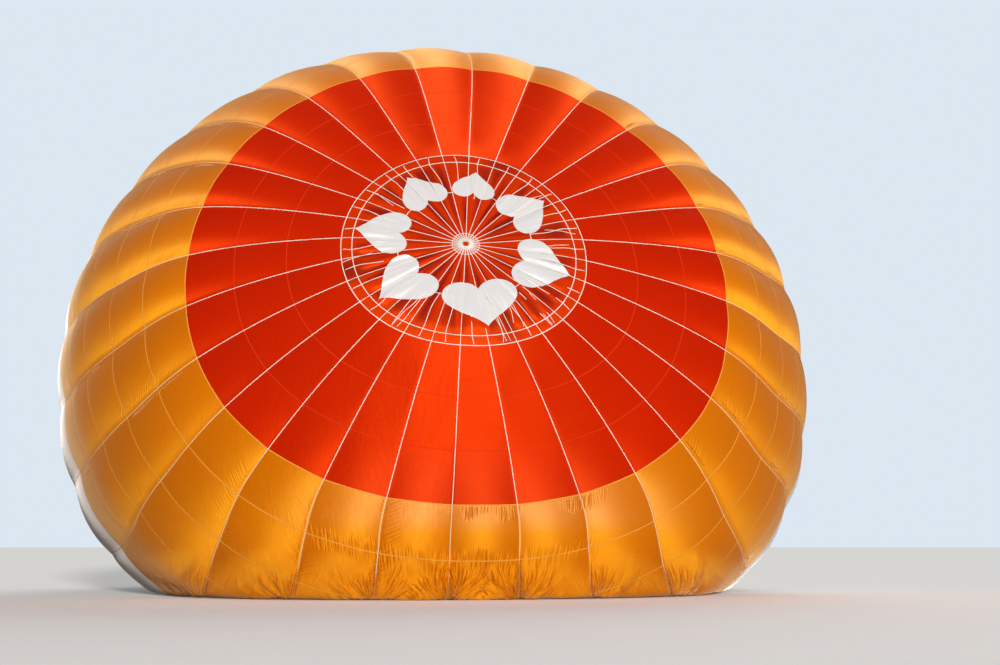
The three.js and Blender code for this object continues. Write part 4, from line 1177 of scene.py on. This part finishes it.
def rings_along(points, directions, out, up):
    """Rings about a closed path in plan, from their outward offsets and their heights."""
    x, y = np.moveaxis(points[:, None] + out[..., None] * directions[:, None], -1, 0)
    return closing(join(x, y, up))


def rim_section():
    """The rim's outline as shares of its half width and half height."""
    c, s = np.cos(circle(28)), np.sin(circle(28))
    return np.sign(c) * np.abs(c) ** (2 / 2.7), np.sign(s) * np.abs(s) ** (2 / 2.7)


def make_rim():
    """The padded rim, drawn in where it is laced down, with its lacing."""
    half_x, half_y = (BASKET_LENGTH - WALL) / 2, (BASKET_DEPTH - WALL) / 2
    points, directions, travelled, total = rounded_path(half_x, half_y, 0.045, 0.02)
    laces = round(total / LACING_STEP)
    across, upwards = rim_section()
    swell = 0.9 + 0.1 * np.abs(np.sin(np.pi * laces * travelled / total)) ** 0.5
    wander = np.minimum(1 + 0.012 * noise(travelled / 0.11, 0.5, 81), 1)
    out = np.outer(RIM_HALF_WIDTH * swell, across)
    up = RIM_MIDDLE + np.outer(RIM_HALF_HEIGHT * swell * wander, upwards)
    rim = make_parts("padded_rim", [rings_along(points, directions, out, up)], "leather")
    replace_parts(rim, "basket_rim")
    on_path = lambda at: np.array([np.interp(at, travelled, line, period=total) for line in points.T])
    out, up = RIM_HALF_WIDTH * 0.915 * across, RIM_HALF_HEIGHT * 0.915 * upwards
    bands = []
    for at in np.arange(laces) * total / laces:
        forward = unit(on_path(at + 0.005) - on_path(at))
        aside = np.array([forward[1], -forward[0]])
        edges = []
        for grow, shift in ((0.0, -0.004), (0.003, -0.002), (0.003, 0.002), (0.0, 0.004)):
            reach = out + grow * np.sign(out) * (np.abs(out) > 0.02)
            plan = on_path(at) + forward * shift + reach[:, None] * aside
            edges.append(np.column_stack([plan, RIM_MIDDLE + up + grow * np.sign(up)]))
        bands.append(closing(np.stack(edges, axis=1)))
    make_parts("rim_lacing", bands, "lace")


def make_skirt():
    """Hide laced round the foot of the basket, and edging of the footholds."""
    points, directions, travelled, _ = rounded_path(BASKET_LENGTH / 2, BASKET_DEPTH / 2, 0.02, 0.05)
    wave = 0.0015 * noise(travelled / 0.2, 0.5, 82)
    low, high = FLOOR_TOP + 0.004, SKIRT_TOP
    out = np.array([0.001, 0.007, 0.0085, 0.006, 0.004, 0.001]) + np.outer(wave, [0, 1, 1, 1, 0, 0])
    up = [low, low, (low + high) / 2, high - 0.004, high, high]
    make_parts("basket_skirt", [rings_along(points, directions, out, up)], "leather")
    half_x, half_z = FOOTHOLD_WIDTH / 2 - 0.004, FOOTHOLD_HEIGHT / 2 - 0.004
    points, directions, _, _ = rounded_path(half_x, half_z, 0.025, 0.03)
    out, deep = 0.011 * np.cos(circle(10)), 0.0225 * np.sin(circle(10))
    bands = []
    for side in (-1, 1):
        for x, z in FOOTHOLDS:
            middle = points + (x, z + FOOTHOLD_HEIGHT / 2)
            rings = rings_along(middle, directions, out, side * (BASKET_DEPTH - WALL) / 2 + deep)
            bands.append(rings[..., [0, 2, 1]])
    make_parts("foothold_edging", bands, "leather")


def tube_along(points, radius, sides):
    """Rings of points about an open line. Radius is a number or one for each point."""
    points = np.array(points, float)
    forward = unit(np.gradient(points, axis=0))
    guide = (0.0, 0.0, 1.0) if abs(forward[0, 2]) < 0.8 else (1.0, 0.0, 0.0)
    side = unit(np.cross(forward, guide))[:, None]
    up = np.cross(side, forward[:, None])
    turn = circle(sides)[:, None]
    return points[:, None] + np.reshape(radius, (-1, 1, 1)) * (np.cos(turn) * side + np.sin(turn) * up)


# Turned parts of the cylinders: radius of each ring, and its height over the foot or under the top
FOOT_RING = [
    (0.118, 0.0), (0.124, 0.0), (0.128, 0.03), (0.126, 0.058), (0.12, 0.058), (0.119, 0.03), (0.118, 0.0)]
COLLAR = [
    (0.09, -0.135), (0.094, -0.135), (0.094, -0.012), (0.09, 0.0), (0.084, -0.006), (0.086, -0.13),
    (0.09, -0.135)]
VALVE = [(0.004, -0.13), (0.024, -0.13), (0.024, -0.1), (0.014, -0.095), (0.014, -0.05), (0.006, -0.045)]
WHEEL = [
    (0.004, -0.05), (0.02, -0.048), (0.03, -0.046), (0.033, -0.038), (0.03, -0.03), (0.02, -0.034),
    (0.004, -0.036)]
GAUGE = [(0.004, -0.13), (0.02, -0.13), (0.021, -0.115), (0.018, -0.108), (0.004, -0.106)]


def make_cylinders():
    """Fuel cylinders with foot rings, domed ends, collars, valves and straps."""
    shells, valves, wheels, straps = [], [], [], []
    x = PILOT_BAY / 2 - CYLINDER_RADIUS - 2 * GAP
    y = BASKET_DEPTH / 2 - WALL - CYLINDER_RADIUS - 2 * GAP
    r, h = CYLINDER_RADIUS - 0.004, CYLINDER_HEIGHT
    base = [(r * math.cos(t), 0.11 - 0.075 * math.sin(t)) for t in np.linspace(math.radians(75), 0, 9)]
    seam = [(r, 0.38), (r + 0.0025, 0.384), (r + 0.0025, 0.396), (r, 0.4)]
    dome = [(r * math.cos(t), h - 0.235 + 0.11 * math.sin(t)) for t in np.linspace(0, math.radians(80), 12)]
    body = [(0.06, 0.036), *base, *seam, *dome, (0.02, h - 0.122)]
    strap = [(r - 0.001, 0), (r + 0.0035, 0), (r + 0.0035, 0.05), (r - 0.001, 0.05), (r - 0.001, 0)]
    for sx, sy, _ in CORNERS:
        foot = np.array([sx * x, sy * y, FLOOR_TOP + GAP])
        top = foot + (0, 0, h)
        shells += [lathe(body, 64, foot), lathe(FOOT_RING, 48, foot), lathe(COLLAR, 48, top)]
        valves += [lathe(VALVE, 24, top), lathe(GAUGE, 20, top + (0.045, 0, 0))]
        wheels.append(lathe(WHEEL, 30, top))
        straps += [lathe(strap, 48, foot + (0, 0, low)) for low in (0.24, 0.5)]
    shell = make_parts("cylinder_shells", shells, "aluminium")
    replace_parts(shell, *[f"fuel_cylinder_{number}" for _, _, number in CORNERS])
    make_parts("cylinder_valves", valves, "brass")
    make_parts("valve_wheels", wheels, "wheel")
    make_parts("cylinder_straps", straps, "strap")


def make_uprights():
    """Rods in laced leather sleeves, with a strap near each end."""
    straps = []
    for sx, sy, number in CORNERS:
        foot = np.array([sx * UPRIGHT_FOOT[0], sy * UPRIGHT_FOOT[1], BASKET_HEIGHT + GAP])
        inset_x, inset_y = FRAME_LENGTH / 2 - UPRIGHT_RADIUS, FRAME_DEPTH / 2 - UPRIGHT_RADIUS
        rise = np.array([sx * inset_x, sy * inset_y, FRAME_BOTTOM - GAP]) - foot
        share = np.linspace(0, 1, 90)
        pinch = 0.045 * np.exp(-((share * 14 % 1 - 0.5) / 0.16) ** 2)
        ends = 0.15 * fade(np.minimum(share, 1 - share), 0, 0.02)
        rings = tube_along(foot + np.outer(share, rise), (UPRIGHT_RADIUS - 0.001) * (1 - pinch - ends), 28)
        rings[0, :, 2], rings[-1, :, 2] = foot[2], foot[2] + rise[2]
        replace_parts(make_parts(f"upright_sleeve_{number}", [rings], "leather"), f"upright_{number}")
        for at in (0.13, 0.87):
            line = foot + np.outer(np.linspace(at, at + 0.035, 4), rise)
            straps.append(tube_along(line, [0.0315, 0.0345, 0.0345, 0.0315], 28))
    make_parts("upright_straps", straps, "strap")


# Turned parts of a burner, from the bottom of its can
R, H = BURNER_RADIUS, BURNER_HEIGHT
CAN = [
    (0.002, 0), (0.55 * R, 0), (R - 0.004, 0.056), (R - 0.001, 0.062), (R - 0.001, H - 0.012), (R, H - 0.008),
    (R, H - 0.002), (R - 0.003, H), (R - 0.005, H - 0.004), (R - 0.004, 0.063), (0.54 * R, 0.004),
    (0.002, 0.004)]
JET_RING = [(0.04, 0.04), (0.052, 0.04), (0.054, 0.052), (0.046, 0.058), (0.038, 0.052), (0.04, 0.04)]
JET = [(0.001, 0), (0.006, 0), (0.005, 0.012), (0.003, 0.016), (0.001, 0.016)]
PILOT_LIGHT = [(0.002, 0.014), (0.02, 0.014), (0.02, 0.09), (0.016, 0.11), (0.002, 0.11)]
BLAST_VALVE = [
    (0.004, -0.125), (0.018, -0.125), (0.02, -0.115), (0.02, -0.075), (0.026, -0.07), (0.026, -0.0555),
    (0.004, -0.0555)]
COILS = [(0.104, 5.5, 0.3), (0.078, 4.5, 0.27)]  # radius, turns and height of the top
COIL_FOOT = 0.085
JETS = 12
# Lines of the lever and the pipe from the valve's middle: run and rise of each point
VALVE_MIDDLE = -0.1
LEVER = [(0, 0), (0.05, 0), (0.1, -0.01), (0.15, -0.035)]
PIPE = [(0, -0.02), (0.02, -0.035), (0.06, -0.04), (0.1, -0.035), (0.13, -0.01), (0.135, 0.012)]


def make_burners():
    """Cans with their coils, jets and pilot lights, blast valves with levers, and the block's pipes."""
    coils, jets, valves, levers, cans = [], [], [], [], []
    for sx, sy, _ in CORNERS:
        foot = np.array([sx * BURNER_OFFSET, sy * BURNER_OFFSET, BURNER_BOTTOM])
        cans.append(lathe(CAN, 72, foot))
        for radius, turns, top in COILS:
            t = np.linspace(0, TURN * turns, int(turns * 26))
            rise = np.linspace(COIL_FOOT, top, len(t))
            coils.append(tube_along(foot + join(radius * np.cos(t), radius * np.sin(t), rise), 0.0085, 10))
        jets += [lathe(JET_RING, 40, foot), lathe(PILOT_LIGHT, 20, foot)]
        for t in circle(JETS):
            jets.append(lathe(JET, 10, foot + (0.046 * math.cos(t), 0.046 * math.sin(t), 0.055)))
        middle = foot + (0, 0, VALVE_MIDDLE)
        lever = [middle + (sx * run, 0, rise) for run, rise in LEVER]
        pipe = [middle + (0, -sy * run, rise) for run, rise in PIPE]
        levers.append(tube_along(lever, [0.006, 0.007, 0.008, 0.009], 12))
        valves += [lathe(BLAST_VALVE, 24, foot), tube_along(pipe, 0.007, 12)]
    shells = make_parts("burner_can_shells", cans, "can_steel", "burners")
    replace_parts(shells, *[f"burner_can_{number}" for _, _, number in CORNERS])
    make_parts("burner_coils", coils, "coil", "burners")
    make_parts("burner_jets", jets, "brass", "burners")
    make_parts("blast_valves", valves, "brass", "burners")
    make_parts("valve_levers", levers, "wheel", "burners")


def dress_solids():
    """Gives solid nodes that keep their shape a finish."""
    fours = range(1, 5)
    for material, names in (
        (wood(), ["basket_floor"]),
        (cable(), [f"flying_wires_{n}" for n in fours]),
        (steel("forged_steel", (0.6, 0.6, 0.6), 0.24), [f"karabiner_{n}" for n in fours]),
        (steel("frame_steel", (0.5, 0.51, 0.53), 0.34), ["load_frame", "gimbal", "burner_block"]),
    ):
        for name in names:
            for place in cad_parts[name].material_slots:
                place.material = material


# Camera, light and floor
CAMERA_PLACE = (-5.411, -41.462, 1.508)
CAMERA_YAW = 0.153
CAMERA_PITCH = math.radians(8.1)
CAMERA_LENS = 54.0
FLOOR_REACH = 1500.0
FLOOR_GLOW = 0.15
# Distant lamps: name, energy, width, colour, and turn from the camera's side and height, in degrees
SUNS = [
    ("low_key", 3.25, 7, (1.0, 0.97, 0.93), 14, 13),
    ("back_fill", 0.9, 40, (1.0, 0.98, 0.95), 165, 38),
]


def make_camera():
    data = bpy.data.cameras.new("camera")
    data.lens = CAMERA_LENS
    data.sensor_width = 36.0
    data.clip_start = 0.5
    data.clip_end = 3000.0
    camera = add_to_scene("camera", data)
    camera.location = CAMERA_PLACE
    camera.rotation_euler = (math.pi / 2 + CAMERA_PITCH, 0, -CAMERA_YAW)
    bpy.context.scene.camera = camera


def make_light():
    for name, energy, width, colour, turn, height in SUNS:
        data = bpy.data.lights.new(name, "SUN")
        data.energy = energy
        data.angle = math.radians(width)
        data.color = colour
        heading, rise = CAMERA_YAW - math.radians(turn), math.radians(height)
        towards = Vector((-math.sin(heading), -math.cos(heading), math.tan(rise)))
        add_to_scene(name, data).rotation_euler = towards.to_track_quat("Z", "Y").to_euler()
    world = bpy.data.worlds.new("studio")
    g = Graph(world, "World Output")
    ambient = g.add("Background", 0, {"Color": (0.78, 0.82, 0.9), "Strength": 0.22})
    backdrop = g.add("Background", 0, {"Color": (0.72, 0.8, 0.88), "Strength": 1.0})
    seen = g.add("LightPath", "Is Camera Ray")
    g.set({"Surface": g.add("MixShader", 0, {0: seen, 1: ambient, 2: backdrop})})
    bpy.context.scene.world = world
    bpy.context.scene.view_settings.view_transform = "Standard"


def make_floor():
    """Pale to the eye, and darker to the light that it throws back at the fabric."""
    g = new_surface("pale_floor", {"Roughness": 0.9, "Emission Color": (0.95, 0.94, 0.92)})
    seen = g.add("LightPath", "Is Camera Ray")
    pale = g.mixed(g.noise(g.place(), 0.6, 5.0), (0.84, 0.83, 0.8), (0.9, 0.89, 0.86))
    base = g.mixed(seen, (0.3, 0.26, 0.19), pale)
    g.set({"Base Color": base, "Emission Strength": g.times(seen, FLOOR_GLOW)})
    mesh = bpy.data.meshes.new("floor")
    corners = [(x * FLOOR_REACH, y * FLOOR_REACH, -0.001) for x, y in ((-1, -1), (1, -1), (1, 1), (-1, 1))]
    mesh.from_pydata(corners, [], [(0, 1, 2, 3)])
    mesh.materials.append(g.owner)
    add_to_scene("floor", mesh)


make_camera()
make_light()
make_floor()
for band in BANDS:
    for sector in range(GORES // SECTOR_GORES):
        make_band_sector(band, sector)
make_load_tapes()
make_seams()
parachute = make_parachute()
make_parachute_tapes()
make_crown_ring()
make_tape_loops()
make_walls()
make_rim()
make_skirt()
make_cylinders()
make_uprights()
make_burners()
dress_solids()
